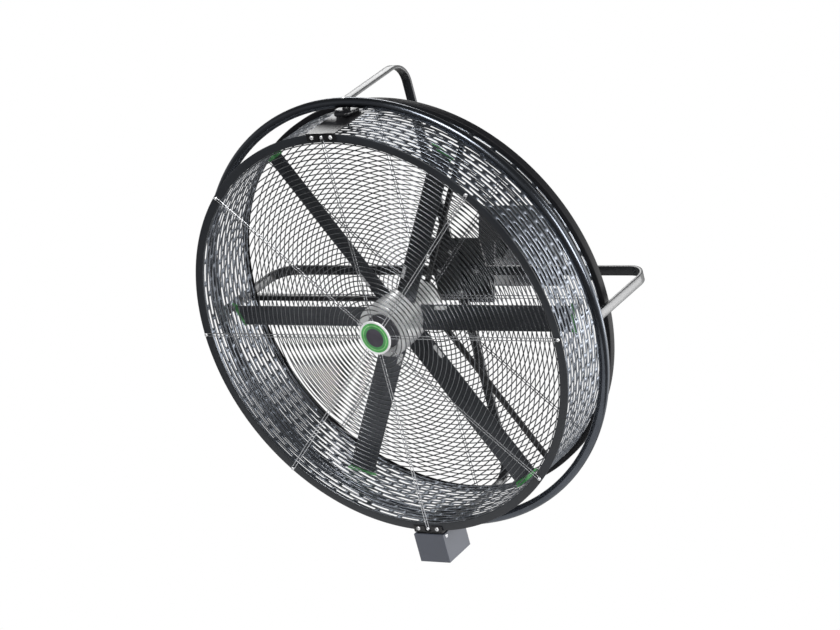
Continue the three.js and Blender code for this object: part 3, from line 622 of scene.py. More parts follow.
# %% [markdown]
# ## The slotted drum
#
# The drum is one long strip of bright sheet, punched with rows of long slots and rolled round.
# Every second row is moved on by half a slot. It could be cut with booleans, 750 of them. Here one
# flat tile with its slot is drawn, a tree lays it out in rows, and the same tree rolls the strip
# up. The plain bands at both edges are grids whose points meet the tiles' points, so it all welds.

# %% One flat tile with a round-ended slot
DRUM_RADIUS = 900
RING_SHEET = 3
SHELL_OUTSIDE = 877.2
SHELL_SHEET = 1.5
SHELL_FRONT, SHELL_REAR = -198.7, 153
SLOT_LENGTH, SLOT_WIDTH = 88, 11
SLOTS_IN_ROW, SLOT_ROWS = 50, 15
SLOT_ROW_PITCH = 21.75
FIRST_SLOT_ROW = -164.5
TILE_STEPS = 8

tile_length = 2 * math.pi * SHELL_OUTSIDE / SLOTS_IN_ROW
print("a slot every", round(tile_length, 1), "mm round the drum")


def slotted_tile():
    half, rise, r = tile_length / 2, SLOT_ROW_PITCH / 2, SLOT_WIDTH / 2
    straight = SLOT_LENGTH / 2 - r
    cuts = [tile_length * k / TILE_STEPS - half for k in range(TILE_STEPS + 1)]
    inner = [max(-straight, min(straight, c)) for c in cuts[1:-1]]
    points = [(c, -rise, 0) for c in cuts] + [(c, rise, 0) for c in cuts]
    points += [(c, -r, 0) for c in inner] + [(c, r, 0) for c in inner]
    n, m = len(cuts), len(inner)
    low, high, slot_low, slot_high = 0, n, 2 * n, 2 * n + m
    faces = []
    for k in range(m - 1):
        faces.append((low + k + 1, low + k + 2, slot_low + k + 1, slot_low + k))
        faces.append((slot_high + k, slot_high + k + 1, high + k + 2, high + k + 1))
    for side, first, last in ((1, n - 1, m - 1), (-1, 0, 0)):
        base = len(points)
        points.append((side * half, 0, 0))
        points += [(side * (straight + r * math.cos(a)), r * math.sin(a), 0) for a in (-math.pi / 4, 0, math.pi / 4)]
        near = first - side
        ends = [(low + near, low + first, base + 1, slot_low + last), (low + first, base, base + 2, base + 1),
                (base, high + first, base + 3, base + 2), (high + first, high + near, slot_high + last, base + 3)]
        faces += ends if side > 0 else [face[::-1] for face in ends]
    return points, faces

tile = slotted_tile()
print("faces in a tile:", len(tile[1]))

# %% The tree that lays out the tiles and rolls up the strip
def slotted_drum_tree():
    tree, start = new_geometry_tree("slotted_drum", {
        "Slots in a row": "Int", "Rows": "Int", "Slot pitch": "Float", "Row pitch": "Float",
        "First row": "Float", "Radius": "Float", "Front edge": "Float", "Rear edge": "Float", "Material": "Material"})
    g = start.out
    number = tree.add("GeometryNodeInputIndex")
    row = (number / g("Slots in a row")).floor()
    spot = tree.xyz((number % g("Slots in a row") + (row % 2) * 0.5) * g("Slot pitch"),
                    row * g("Row pitch") + g("First row"), 0)
    spots = tree.add("GeometryNodeMeshLine", None,
                     {"Count": g("Slots in a row") * g("Rows"), "Start Location": (0, 0, 0), "Offset": (0, 0, 0)})
    spots = tree.add("GeometryNodeSetPosition", None, {"Geometry": spots, "Position": spot})
    tiles = tree.add("GeometryNodeInstanceOnPoints", None, {"Points": spots, "Instance": g("Geometry")})
    top_edge = g("First row") - g("Row pitch") * 0.5
    low_edge = top_edge + g("Row pitch") * g("Rows")
    bands = []
    for a, b in ((g("Front edge"), top_edge), (low_edge, g("Rear edge"))):
        band = tree.add("GeometryNodeMeshGrid", None, {
            "Size X": g("Slot pitch") * g("Slots in a row"), "Size Y": b - a,
            "Vertices X": g("Slots in a row") * TILE_STEPS + 1, "Vertices Y": 2})
        bands.append(tree.add("GeometryNodeTransform", None,
                              {"Geometry": band, "Translation": tree.xyz(0, (a + b) * 0.5, 0)}))
    strip = tree.add("GeometryNodeJoinGeometry", None, {"Geometry": [tiles, *bands]})
    strip = tree.add("GeometryNodeRealizeInstances", None, {"Geometry": strip})
    u, v, _ = tree.split(tree.add("GeometryNodeInputPosition"))
    angle = u / g("Radius")
    rolled = tree.add("GeometryNodeSetPosition", None, {
        "Geometry": strip, "Position": tree.xyz(angle.sin() * g("Radius"), v, angle.cos() * g("Radius"))})
    welded = tree.add("GeometryNodeMergeByDistance", None, {"Geometry": rolled, "Distance": 0.05})
    return end_tree(tree, welded, g("Material"))

flat_tile = bpy.data.meshes.new("slotted_tile")
flat_tile.from_pydata(tile[0], [], tile[1])
shell_mesh = grown("slotted_shell", flat_tile, slotted_drum_tree(), {
    "Slots in a row": SLOTS_IN_ROW, "Rows": SLOT_ROWS, "Slot pitch": tile_length, "Row pitch": SLOT_ROW_PITCH,
    "First row": FIRST_SLOT_ROW, "Radius": float(SHELL_OUTSIDE), "Front edge": SHELL_FRONT,
    "Rear edge": SHELL_REAR, "Material": finishes["galvanised_sheet"]})
shell = set_down(as_object("slotted_shell", shell_mesh), ON_DRUM, "drum", "galvanised_sheet",
                 "galvanised_sheet", ["drum_shell"], sharp=40)
sheet = shell.modifiers.new("sheet_thickness", "SOLIDIFY")
sheet.thickness, sheet.offset, sheet.use_even_offset = SHELL_SHEET * MM, -1, False

# %% [markdown]
# ## The two rims
#
# Both rims stand out from the drum. The front one is a flat face, which the guard bolts to, with a
# shallow lip folded back along its edge. The rear one is a channel round the drum's end: a face in
# front, which shows as a black band beside the slots, a rim, and a narrow hem behind. A ring like
# this is a profile turned about the axis. Every corner has the small radius that folded sheet
# always has, because the highlight that runs round the rim sits on it.

# %% Turn the rims
DRUM_FRONT, DRUM_REAR = -202, 186
RING_FACE, FRONT_LIP = 36, 6
REAR_DEPTH, REAR_HEM = 36, 12
LIP_SHEET = 5
SHELL_SEAT = 877.5

inner, lip = DRUM_RADIUS - RING_FACE, DRUM_RADIUS - LIP_SHEET
front_corners = [(inner, DRUM_FRONT), (DRUM_RADIUS, DRUM_FRONT), (DRUM_RADIUS, DRUM_FRONT + FRONT_LIP),
                 (lip, DRUM_FRONT + FRONT_LIP), (lip, DRUM_FRONT + RING_SHEET), (inner, DRUM_FRONT + RING_SHEET)]
rear_face, hem = DRUM_REAR - REAR_DEPTH, DRUM_RADIUS - REAR_HEM
rear_corners = [(SHELL_SEAT, rear_face), (DRUM_RADIUS, rear_face), (DRUM_RADIUS, DRUM_REAR), (hem, DRUM_REAR),
                (hem, DRUM_REAR - RING_SHEET), (lip, DRUM_REAR - RING_SHEET), (lip, rear_face + RING_SHEET),
                (SHELL_SEAT, rear_face + RING_SHEET)]
front_radii = [1.4, 2.5, 1.5, 1.0, 0.4, 1.4]
rear_radii = [0.4, 3.0, 3.0, 1.4, 1.4, 0.4, 0.4, 0.4]
for name, corners, radii, finish in (("front_rim", front_corners, front_radii, "ring_paint"),
                                     ("rear_rim", rear_corners, rear_radii, "lip_paint")):
    rim = piece(name, turned(rounded(corners, radii, 3), 240), "drum", finish, "black_paint",
                [name.replace("rim", "ring")], sharp=50)
    print(name, "faces:", len(rim.data.polygons))

# %% [markdown]
# ## The wire guards
#
# A guard is 36 wire rings, 21.7 mm apart, welded on eight spokes. Each spoke is one wire bent to a
# long U: it runs out from the hub ring, round a bolt on the rim, and back. The rings are dull and
# the spokes bright in the photograph, so a guard is two pieces. One spoke and one circle are drawn
# as lines, and two trees repeat them and give them the wire's round section. The rings lie on the
# inner side of the spokes, as they are welded.

# %% The bent spoke and the circle as lines
WIRE = 4.0
RING_WIRE = 5.0
RINGS_BEHIND_SPOKES = 3.2          # the rings are pressed a little into the spokes as they are welded
SPOKES = 8
SPOKE_GAP = 12
BOLT_CIRCLE = 888
GUARD_HUB_RING = 70
GUARD_INNER, GUARD_OUTER, GUARD_RINGS = 100, 860, 36


def line_mesh(name, points, closed=False):
    mesh = bpy.data.meshes.new(name)
    edges = [(i, i + 1) for i in range(len(points) - 1)] + ([(len(points) - 1, 0)] if closed else [])
    mesh.from_pydata(points, edges, [])
    return mesh


def spoke_line():
    half = SPOKE_GAP / 2
    bend = [(BOLT_CIRCLE + half * math.sin(a), half * math.cos(a)) for a in [math.pi * k / 8 for k in range(9)]]
    line = [(GUARD_HUB_RING - 2, half), (400, half), *bend, (400, -half), (GUARD_HUB_RING - 2, -half)]
    return [(x, 0, z) for x, z in line]


def circle_line(steps=128):
    return [(math.cos(2 * math.pi * k / steps), 0, math.sin(2 * math.pi * k / steps)) for k in range(steps)]

print("points on a spoke:", len(spoke_line()))

# %% The two trees that make a guard
def wire_of(tree, start, lines):
    """Gives lines the wire's round section."""
    curves = tree.add("GeometryNodeMeshToCurve", None,
                      {"Mesh": tree.add("GeometryNodeRealizeInstances", None, {"Geometry": lines})})
    section = tree.add("GeometryNodeCurvePrimitiveCircle", None, {"Resolution": 6, "Radius": start.out("Wire") * 0.5})
    wires = tree.add("GeometryNodeCurveToMesh", None, {"Curve": curves, "Profile Curve": section, "Fill Caps": True})
    return end_tree(tree, wires, start.out("Material"))


def middle_spots(tree, count, plane):
    """`count` points in the middle of a guard's plane, for copies to stand on."""
    spots = tree.add("GeometryNodeMeshLine", None, {"Count": count, "Offset": (0, 0, 0)})
    return tree.add("GeometryNodeTransform", None, {"Geometry": spots, "Translation": tree.xyz(0, plane, 0)})


def spokes_tree():
    tree, start = new_geometry_tree("guard_spokes", {
        "Spokes": "Int", "Plane": "Float", "Wire": "Float", "Material": "Material"})
    number = tree.add("GeometryNodeInputIndex")
    spokes = tree.add("GeometryNodeInstanceOnPoints", None, {
        "Points": middle_spots(tree, start.out("Spokes"), start.out("Plane")), "Instance": start.out("Geometry"),
        "Rotation": tree.xyz(0, number * (2 * math.pi / start.out("Spokes")), 0)})
    return wire_of(tree, start, spokes)


def rings_tree():
    tree, start = new_geometry_tree("guard_rings", {
        "Rings": "Int", "Inner ring": "Float", "Outer ring": "Float", "Hub ring": "Float",
        "Plane": "Float", "Wire": "Float", "Material": "Material"})
    g = start.out
    number = tree.add("GeometryNodeInputIndex")
    pitch = (g("Outer ring") - g("Inner ring")) / (g("Rings") - 1)
    rings = []
    for count, radius in ((g("Rings"), g("Inner ring") + number * pitch), (1, g("Hub ring"))):
        rings.append(tree.add("GeometryNodeInstanceOnPoints", None, {
            "Points": middle_spots(tree, count, g("Plane")), "Instance": g("Geometry"),
            "Scale": tree.xyz(radius, radius, radius)}))
    return wire_of(tree, start, tree.add("GeometryNodeJoinGeometry", None, {"Geometry": rings}))

GUARD_SPOKES, GUARD_CIRCLES = spokes_tree(), rings_tree()

# %% Both guards
for side, face, inwards in (("front", DRUM_FRONT, 1), ("rear", DRUM_REAR, -1)):
    spoke_plane = face - inwards * (WIRE / 2 + CLEARANCE)
    spokes = as_object(f"{side}_spokes", grown(f"{side}_spokes", line_mesh("spoke", spoke_line()), GUARD_SPOKES, {
        "Spokes": SPOKES, "Plane": spoke_plane, "Wire": WIRE, "Material": finishes["bright_wire"]}))
    set_down(spokes, ON_DRUM, "drum", "bright_wire", "zinc_wire", [f"{side}_guard"], sharp=80)
    circle = line_mesh("circle", circle_line(), True)
    rings = as_object(f"{side}_wires", grown(f"{side}_wires", circle, GUARD_CIRCLES, {
        "Rings": GUARD_RINGS, "Inner ring": float(GUARD_INNER), "Outer ring": float(GUARD_OUTER),
        "Hub ring": float(GUARD_HUB_RING), "Plane": spoke_plane + inwards * RINGS_BEHIND_SPOKES,
        "Wire": RING_WIRE, "Material": finishes["zinc_wire"]}))
    set_down(rings, ON_DRUM, "drum", "zinc_wire", "zinc_wire", [f"{side}_guard"], sharp=80)

# %% [markdown]
# ## Bolts
#
# The guard and the brackets are held by button-head bolts, which show as round white spots. One
# head is drawn as a turned profile with its six-sided socket, and used at two sizes. The eight guard
# bolts go on by the tree of turned copies, the rest on given points. The yoke bolts behind the drum
# are plain hexagons with a chamfered top and a washer.

# %% Draw the two kinds of head
def quarter_turn(steps, first=0, last=None):
    """Angles of a quarter circle that is divided into `steps`."""
    return [math.pi / 2 * k / steps for k in range(first, (steps if last is None else last) + 1)]


def button_head(radius, height, seat, socket=0.0):
    """A round domed head whose axis is y, standing towards -y on the plane y = seat."""
    steps = 24
    dome = [(radius, seat), (radius, seat - height * 0.2)]
    dome += [(radius * math.cos(a), seat - height * (0.2 + 0.8 * math.sin(a))) for a in quarter_turn(5, 1, 3)]
    rings = [[(r * math.cos(2 * math.pi * k / steps), y, r * math.sin(2 * math.pi * k / steps)) for k in range(steps)]
             for r, y in dome]
    for y in (seat - height, seat - height * 0.45):
        ring = []
        for k in range(steps):
            a = 2 * math.pi * k / steps
            r = socket * math.cos(math.pi / 6) / math.cos(a % (math.pi / 3) - math.pi / 6)
            ring.append((r * math.cos(a), y, r * math.sin(a)))
        rings.append(ring)
    points = [p for ring in rings for p in ring]
    faces = [(j * steps + k, j * steps + (k + 1) % steps, (j + 1) * steps + (k + 1) % steps, (j + 1) * steps + k)
             for j in range(len(rings) - 1) for k in range(steps)]
    return points, faces + [tuple(range(steps)), tuple(range((len(rings) - 1) * steps, len(rings) * steps))[::-1]]


def hexagon_head(across, height, washer, washer_height, seat, shank=0.0):
    """A head whose axis is y, standing towards -y on the plane y = seat."""
    corner = across / math.sqrt(3)
    steps = 24
    base, top = seat - washer_height, seat - washer_height - height
    rings = []
    for reach, y in ((1.0, base), (1.0, top + height * 0.16), (0.86, top)):
        ring = []
        for k in range(steps):
            a = 2 * math.pi * k / steps
            flat = corner * math.cos(math.pi / 6) / math.cos((a + math.pi / 6) % (math.pi / 3) - math.pi / 6)
            r = flat if reach == 1.0 else min(flat, corner * reach)
            ring.append((r * math.cos(a), y, r * math.sin(a)))
        rings.append(ring)
    points = [p for ring in rings for p in ring]
    faces = [(j * steps + k, j * steps + (k + 1) % steps, (j + 1) * steps + (k + 1) % steps, (j + 1) * steps + k)
             for j in range(2) for k in range(steps)]
    faces += [tuple(range(steps))[::-1], tuple(range(2 * steps, 3 * steps))]
    disc = turned([(0, seat), (washer, seat), (washer, base + 0.4), (washer - 0.5, base), (0, base)], 24)
    parts = [(points, faces), disc]
    if shank:
        parts.append(turned([(0, seat), (0, seat + shank), (washer * 0.4, seat + shank), (washer * 0.4, seat)], 12))
    return together(*parts)

# %% Set the guard and bracket bolts
BRACKET_SHEET = 5
BRACKET_BOLT_X = 47
guard_seat = DRUM_FRONT - CLEARANCE - WIRE
bracket_seat = DRUM_FRONT - CLEARANCE - BRACKET_SHEET

guard_bolt = moved(button_head(7.6, 5.5, guard_seat, 2.6), Matrix.Translation((BOLT_CIRCLE, 0, 0)))
set_down(as_object("guard_bolts", copies_round("guard_bolts", guard_bolt, SPOKES, "steel")), ON_DRUM, "drum",
         "steel", "steel", [f"guard_bolt_{k + 1}" for k in range(SPOKES)], sharp=40)
set_down(as_object("bracket_bolts", copies_on(
    "bracket_bolts", button_head(9.2, 6.5, bracket_seat, 3.0),
    [(x, 0, z) for x in (-BRACKET_BOLT_X, BRACKET_BOLT_X) for z in (-BOLT_CIRCLE, BOLT_CIRCLE)], "steel")),
    ON_DRUM, "drum", "steel", "steel",
    [f"{end}_bracket_bolt_{side}" for end in ("top", "bottom") for side in ("left", "right")], sharp=40)

# %% [markdown]
# ## Hoop and yokes
#
# The hoop is steel tube bent to a circle and welded shut. The yokes are thick flat bar bent to wide
# U shapes that cross behind the drum, the upright one in front of the level one, with their legs
# welded to the hoop. The hoop is smooth dark metal that mirrors the studio, and the bars have a
# gloss coat. The hoop is a circle turned about the axis. A yoke is a rounded rectangle run along a
# path whose corners have the bar's bending radius. The legs' ends run a little into the tube, as
# ends cut to its round do.

# %% Hoop
HOOP_RADIUS, HOOP_TUBE = 954.8, 21.2
hoop_section = [(HOOP_RADIUS + HOOP_TUBE * math.cos(2 * math.pi * k / 24), HOOP_TUBE * math.sin(2 * math.pi * k / 24))
                for k in range(24)]
piece("round_hoop", turned(hoop_section, 256), "yoke_frame", "hoop_steel", "dark_steel", ["hoop"], sharp=80)

# %% Yokes
BAR, BAR_WIDTH = 13, 42
YOKE_BEND = 95
UPRIGHT_BACK = 436
LEVEL_BACK = UPRIGHT_BACK + BAR + CLEARANCE
UPRIGHT_LEG, LEVEL_LEG = HOOP_RADIUS + 8, HOOP_RADIUS - 4
BEAD = 2.8


def yoke_path(leg, back):
    start = HOOP_TUBE / 2
    corners = [(leg, start), (leg, back), (-leg, back), (-leg, start)]
    return [(x, y, 0) for x, y in rounded(corners, [0, YOKE_BEND, YOKE_BEND, 0], 16)]


def weld_bead(x):
    """A bead along the side of a leg's end, where it meets the round of the tube."""
    y = math.sqrt(HOOP_TUBE ** 2 - min(HOOP_TUBE - 0.5, abs(abs(x) - HOOP_RADIUS)) ** 2) + 0.4
    section = [(BEAD * math.cos(a), BEAD * math.sin(a)) for a in [2 * math.pi * k / 10 for k in range(10)]]
    return along([(x, y, -BAR_WIDTH / 2 + 1), (x, y, 0), (x, y, BAR_WIDTH / 2 - 1)], section, (0, 1, 0))

bar_section = rounded(rectangle(BAR, BAR_WIDTH), 1.8, 3)
for name, leg, back, quarter, node in (("level_yoke", LEVEL_LEG, LEVEL_BACK, 0, "horizontal_yoke"),
                                       ("upright_yoke", UPRIGHT_LEG, UPRIGHT_BACK, 1, "vertical_yoke")):
    bar = along(yoke_path(leg, back), bar_section, (0, 0, 1))
    beads = [weld_bead(side * (leg + lay * (BAR / 2 + 0.6))) for side in (-1, 1) for lay in (-1, 1)]
    piece(name, moved(together(bar, *beads), Matrix.Rotation(math.pi / 2 * quarter, 4, "Y")), "yoke_frame",
          "gloss_paint", "dark_steel", [node], sharp=40)
print("yokes made")

# %% [markdown]
# ## Head plate and tilt joint
#
# Behind the drum both yokes are bolted to a square plate with two ears, and a pin through the ears
# tilts the whole frame on the wall bracket. These are cut plates, welded together. Each is an
# outline with a thickness, and a softened edge such as a file or a grinder leaves.

# %% Plate with ears
HEAD_FACE = LEVEL_BACK + BAR / 2 + CLEARANCE
HEAD_SHEET, HEAD_WIDTH, HEAD_HEIGHT = 8, 280, 290
EAR_SHEET, EAR_NOSE, EAR_ROOT = 12, 45, 70
CHEEKS_OUTSIDE = 100
TILT_PIN_RADIUS = 15


def nosed_plate(root_y, root_half, nose_y, nose_z, radius, sheet, x, root_z=0.0):
    """An outline in (y, z), widest at its root and rounded about the pin, centred on x."""
    towards = 1 if nose_y > root_y else -1
    outline = [(root_y, root_z - root_half)]
    for k in range(25):
        a = -math.pi / 2 + math.pi * k / 24
        outline.append((nose_y + towards * radius * math.cos(a), nose_z + radius * math.sin(a)))
    outline.append((root_y, root_z + root_half))
    return thick(outline, sheet, lambda u, v, d: (x - sheet / 2 + d, u, v))


head_corners = rounded(rectangle(HEAD_WIDTH, HEAD_HEIGHT), 14, 5)
head = thick(head_corners, HEAD_SHEET, lambda u, v, d: (u, HEAD_FACE + d, v))
ear_x = CHEEKS_OUTSIDE / 2 + CLEARANCE + EAR_SHEET / 2
ears = [nosed_plate(HEAD_FACE + HEAD_SHEET - 1, EAR_ROOT, DRUM_TO_TILT_PIN, 0, EAR_NOSE, EAR_SHEET, side * ear_x)
        for side in (-1, 1)]
pad_height = (HEAD_HEIGHT - BAR_WIDTH) / 2 - 30
pad_depth = HEAD_FACE - UPRIGHT_BACK - BAR / 2 - CLEARANCE
pads = [block(BAR_WIDTH, pad_depth, pad_height, 0, HEAD_FACE - pad_depth / 2,
              side * (BAR_WIDTH / 2 + 10 + pad_height / 2)) for side in (-1, 1)]
piece("eared_plate", together(head, *ears, *pads), "yoke_frame", "black_paint", "black_paint",
      ["head_plate"], soften=1.5)

# %% Tilt pin and yoke bolts
def pin_about_x(steps, segments=40):
    """A stepped pin about x. Each step is (radius, from, to)."""
    profile = [(0, steps[0][1])]
    for r, a, b in steps:
        profile += [(r, a), (r, b)]
    profile.append((0, steps[-1][2]))
    soft = rounded(profile, [0] + [1.2] * (len(profile) - 2) + [0], 2)
    return moved(turned(soft, segments), Matrix.Rotation(-math.pi / 2, 4, "Z"))

half_span = CHEEKS_OUTSIDE / 2 + CLEARANCE + EAR_SHEET + CLEARANCE
tilt_pin = pin_about_x([(24, -half_span - 12, -half_span), (TILT_PIN_RADIUS, -half_span, half_span),
                        (24, half_span, half_span + 12)])
piece("tilt_pin_turned", moved(tilt_pin, Matrix.Translation((0, DRUM_TO_TILT_PIN, 0))), "yoke_frame", "steel",
      "steel", ["tilt_pin"], sharp=35)

YOKE_BOLT_REACH = 95
level_points = [(x, LEVEL_BACK - BAR / 2 - CLEARANCE, 0) for x in (-YOKE_BOLT_REACH, YOKE_BOLT_REACH)]
upright_points = [(0, UPRIGHT_BACK - BAR / 2 - CLEARANCE, z) for z in (-YOKE_BOLT_REACH, YOKE_BOLT_REACH)]
shank = HEAD_FACE + HEAD_SHEET + 4 - level_points[0][1]
set_down(as_object("yoke_bolts", copies_on("yoke_bolts", hexagon_head(17, 6.6, 10, 1.4, 0, shank),
                                          level_points + upright_points, "steel")),
         ON_DRUM, "yoke_frame", "steel", "steel",
         [f"yoke_bolt_{side}" for side in ("left", "right", "top", "bottom")], sharp=28)

# %% [markdown]
# ## Wall mount
#
# The mount is a plate with four anchor holes, a square tube with two gussets, and a flange with
# two cheeks for the tilt pin. Only parts of the plate and of the flange show behind the drum.
# The plate's holes are cut with a boolean, because real holes are wanted where anchors go through.

# %% Wall plate with its anchor holes
PLATE_WIDTH, PLATE_HEIGHT, PLATE_SHEET = 440, 350, 12
ANCHOR_EDGE, ANCHOR_HOLE = 30, 9


def cut_through(made, name, cutters):
    """Takes the cutters out of a placed piece and removes them."""
    tool = as_object(name, as_mesh(name, cutters))
    tool.data.transform(ON_WALL)
    cut = made.modifiers.new("holes", "BOOLEAN")
    cut.object, cut.operation, cut.solver = tool, "DIFFERENCE", "EXACT"
    result = bpy.data.meshes.new_from_object(made.evaluated_get(bpy.context.evaluated_depsgraph_get()))
    made.modifiers.remove(cut)
    made.data = result
    bpy.data.objects.remove(tool)


def plain_rod(radius, a, b, segments=32):
    return turned([(0, a), (radius, a), (radius, b), (0, b)], segments)

plate_outline = rounded(rectangle(PLATE_WIDTH, PLATE_HEIGHT), 8, 4)
plate_drawing = thick(plate_outline, PLATE_SHEET, lambda u, v, d: (u, d - PLATE_SHEET, v))
plate = as_object("anchor_plate", as_mesh("anchor_plate", plate_drawing))
plate.data.transform(ON_WALL)
anchor_x, anchor_z = PLATE_WIDTH / 2 - ANCHOR_EDGE, PLATE_HEIGHT / 2 - ANCHOR_EDGE
anchors = [moved(plain_rod(ANCHOR_HOLE, -30, 20), Matrix.Translation((sx * anchor_x, 0, sz * anchor_z)))
           for sx in (-1, 1) for sz in (-1, 1)]
cut_through(plate, "anchor_drills", together(*anchors))
set_down(plate, Matrix.Identity(4), "mount", "mount_paint", "black_paint", ["wall_plate"], soften=1.2)

# %% Arm, gussets, flange and cheeks
ARM_SIZE, ARM_DROP = 120, 116
PIN_REACH, PIN_RISE = 428, 30
FLANGE_WIDTH, FLANGE_HEIGHT, FLANGE_SHEET, FLANGE_SETBACK = 184, 262, 12, 78
GUSSET_LENGTH, GUSSET_HEIGHT, GUSSET_SHEET, GUSSET_SPACING = 200, 190, 8, 90
CHEEK_SHEET, CHEEK_NOSE, CHEEK_ROOT = 12, 42, 62

flange_face = -PIN_REACH + FLANGE_SETBACK
arm_front, arm_back = flange_face + FLANGE_SHEET + CLEARANCE, -PLATE_SHEET - CLEARANCE
arm_tube = thick(rounded(rectangle(ARM_SIZE, ARM_SIZE, 0, -ARM_DROP), 9, 5), arm_back - arm_front,
                 lambda u, v, d: (u, arm_front + d, v))
arm_top = -ARM_DROP + ARM_SIZE / 2
gusset_outline = [(arm_back - GUSSET_LENGTH, arm_top - 2), (arm_back, arm_top - 2),
                  (arm_back, arm_top + GUSSET_HEIGHT), (arm_back - GUSSET_SHEET, arm_top + GUSSET_HEIGHT)]
gussets = [thick(gusset_outline, GUSSET_SHEET, lambda u, v, d, x=x: (x + d, u, v))
           for x in [side * GUSSET_SPACING / 2 - GUSSET_SHEET / 2 for side in (-1, 1)]]
piece("gusseted_arm", together(arm_tube, *gussets), "mount", "mount_paint", "black_paint", ["mount_arm"],
      place=ON_WALL, soften=1.5)

flange = thick(rounded(rectangle(FLANGE_WIDTH, FLANGE_HEIGHT, 0, -ARM_DROP), 6, 4), FLANGE_SHEET,
               lambda u, v, d: (u, flange_face + d, v))
pin_height = -ARM_DROP + PIN_RISE
cheeks = [nosed_plate(flange_face + FLANGE_SHEET / 2, CHEEK_ROOT, -PIN_REACH, pin_height, CHEEK_NOSE, CHEEK_SHEET,
                      side * (CHEEKS_OUTSIDE - CHEEK_SHEET) / 2, pin_height) for side in (-1, 1)]
piece("cheeked_flange", together(flange, *cheeks), "mount", "mount_paint", "black_paint", ["tilt_bracket"],
      place=ON_WALL, soften=1.5)

# %% [markdown]
# ## Swivel brackets, pins and clamp knob
#
# At the top and the bottom of the drum a glossy black plate lies over the rim and is folded down on
# the rim's face, where the bolts hold it. A pin through the plate and the hoop lets the drum swivel,
# and the lobed knob between them clamps it. The plates are outlines with a thickness, notched for
# the guard's spoke. The knob is a lobed outline, stacked in layers that shrink towards both ends,
# which gives the rolled edge of a moulded grip.

# %% Brackets
BRACKET_HALF, BRACKET_BACK, BRACKET_CORNER = 72, 28, 15
FOLD_DROP, FOLD_NOTCH = 13, 28
bracket_front = DRUM_FRONT - CLEARANCE - BRACKET_SHEET
bracket_base = DRUM_RADIUS + CLEARANCE


def bracket_drawing(end):
    outline = rounded([(-BRACKET_HALF, bracket_front), (BRACKET_HALF, bracket_front), (BRACKET_HALF, BRACKET_BACK),
                       (-BRACKET_HALF, BRACKET_BACK)], [0, 0, BRACKET_CORNER, BRACKET_CORNER], 6)
    top = thick(outline, BRACKET_SHEET, lambda u, v, d: (u, v, bracket_base + d))
    foot = bracket_base + BRACKET_SHEET - BOLT_CIRCLE + FOLD_DROP
    wide = BRACKET_HALF - FOLD_NOTCH / 2
    folds = [block(wide, BRACKET_SHEET, foot, side * (FOLD_NOTCH + wide) / 2, bracket_front + BRACKET_SHEET / 2,
                   bracket_base + BRACKET_SHEET - foot / 2) for side in (-1, 1)]
    return moved(together(top, *folds), Matrix.Rotation(0 if end > 0 else math.pi, 4, "Y"))

for end, label in ((1, "top"), (-1, "bottom")):
    piece(f"{label}_rim_bracket", bracket_drawing(end), "drum", "black_paint", "black_paint",
          [f"{label}_swivel_bracket"], soften=1.2)

# %% Swivel pins
SWIVEL_PIN, COLLAR = 8, 17
hoop_outside = HOOP_RADIUS + HOOP_TUBE
collar_foot = bracket_base + BRACKET_SHEET + CLEARANCE
collar_top = HOOP_RADIUS - HOOP_TUBE - COLLAR * math.tan(math.pi / 48) - CLEARANCE


def swivel_pin(with_collar, end):
    shank = [(0, DRUM_RADIUS - 3), (SWIVEL_PIN, DRUM_RADIUS - 3)]
    if with_collar:
        shank += [(SWIVEL_PIN, collar_foot), (COLLAR, collar_foot), (COLLAR, collar_top), (SWIVEL_PIN, collar_top)]
    shank += [(SWIVEL_PIN, hoop_outside - 1), (SWIVEL_PIN - 1, hoop_outside), (0, hoop_outside)]
    return moved(turned(shank, 32), Matrix.Rotation(end * math.pi / 2, 4, "X"))

piece("top_pin", swivel_pin(False, 1), "yoke_frame", "steel", "steel", ["top_swivel_pin"], sharp=30)
piece("bottom_pin", swivel_pin(True, -1), "yoke_frame", "steel", "steel", ["bottom_swivel_pin"], sharp=30)

# %% Clamp knob
KNOB_RADIUS, KNOB_SHARE, KNOB_LOBES, KNOB_LOBE_DEPTH, KNOB_EDGE = 57.5, 0.56, 6, 7, 5


def knob_layer(shrink, z):
    layer = []
    for k in range(96):
        a = 2 * math.pi * k / 96
        r = KNOB_RADIUS - KNOB_LOBE_DEPTH * (1 - math.cos(KNOB_LOBES * a)) / 2 - shrink
        layer.append((r * math.cos(a), r * math.sin(a), z))
    return layer


def knob_drawing():
    half = KNOB_SHARE * (collar_top - collar_foot) / 2
    layers = [knob_layer(30, -half), knob_layer(6, -half)]
    soft = KNOB_EDGE
    layers += [knob_layer(soft - soft * math.sin(a), -half + soft - soft * math.cos(a)) for a in quarter_turn(4)]
    layers += [knob_layer(soft - soft * math.cos(a), half - soft + soft * math.sin(a)) for a in quarter_turn(4)]
    layers += [knob_layer(6, half), knob_layer(30, half)]
    points = [p for layer in layers for p in layer]
    faces = [(j * 96 + k, j * 96 + (k + 1) % 96, (j + 1) * 96 + (k + 1) % 96, (j + 1) * 96 + k)
             for j in range(len(layers) - 1) for k in range(96)]
    faces += [tuple(range(96)), tuple(range((len(layers) - 1) * 96, len(layers) * 96))]
    boss_half = (collar_top - collar_foot) / 2
    boss = moved(turned([(0, -boss_half), (COLLAR - 1, -boss_half), (COLLAR, -boss_half + 1), (COLLAR, boss_half - 1),
                         (COLLAR - 1, boss_half), (0, boss_half)], 32), Matrix.Rotation(math.pi / 2, 4, "X"))
    return moved(together((points, faces), boss), Matrix.Translation((0, 0, (collar_top + collar_foot) / 2)))

piece("lobed_knob", knob_drawing(), "knob", "dark_plastic", "dark_plastic", ["clamp_knob"], sharp=40)

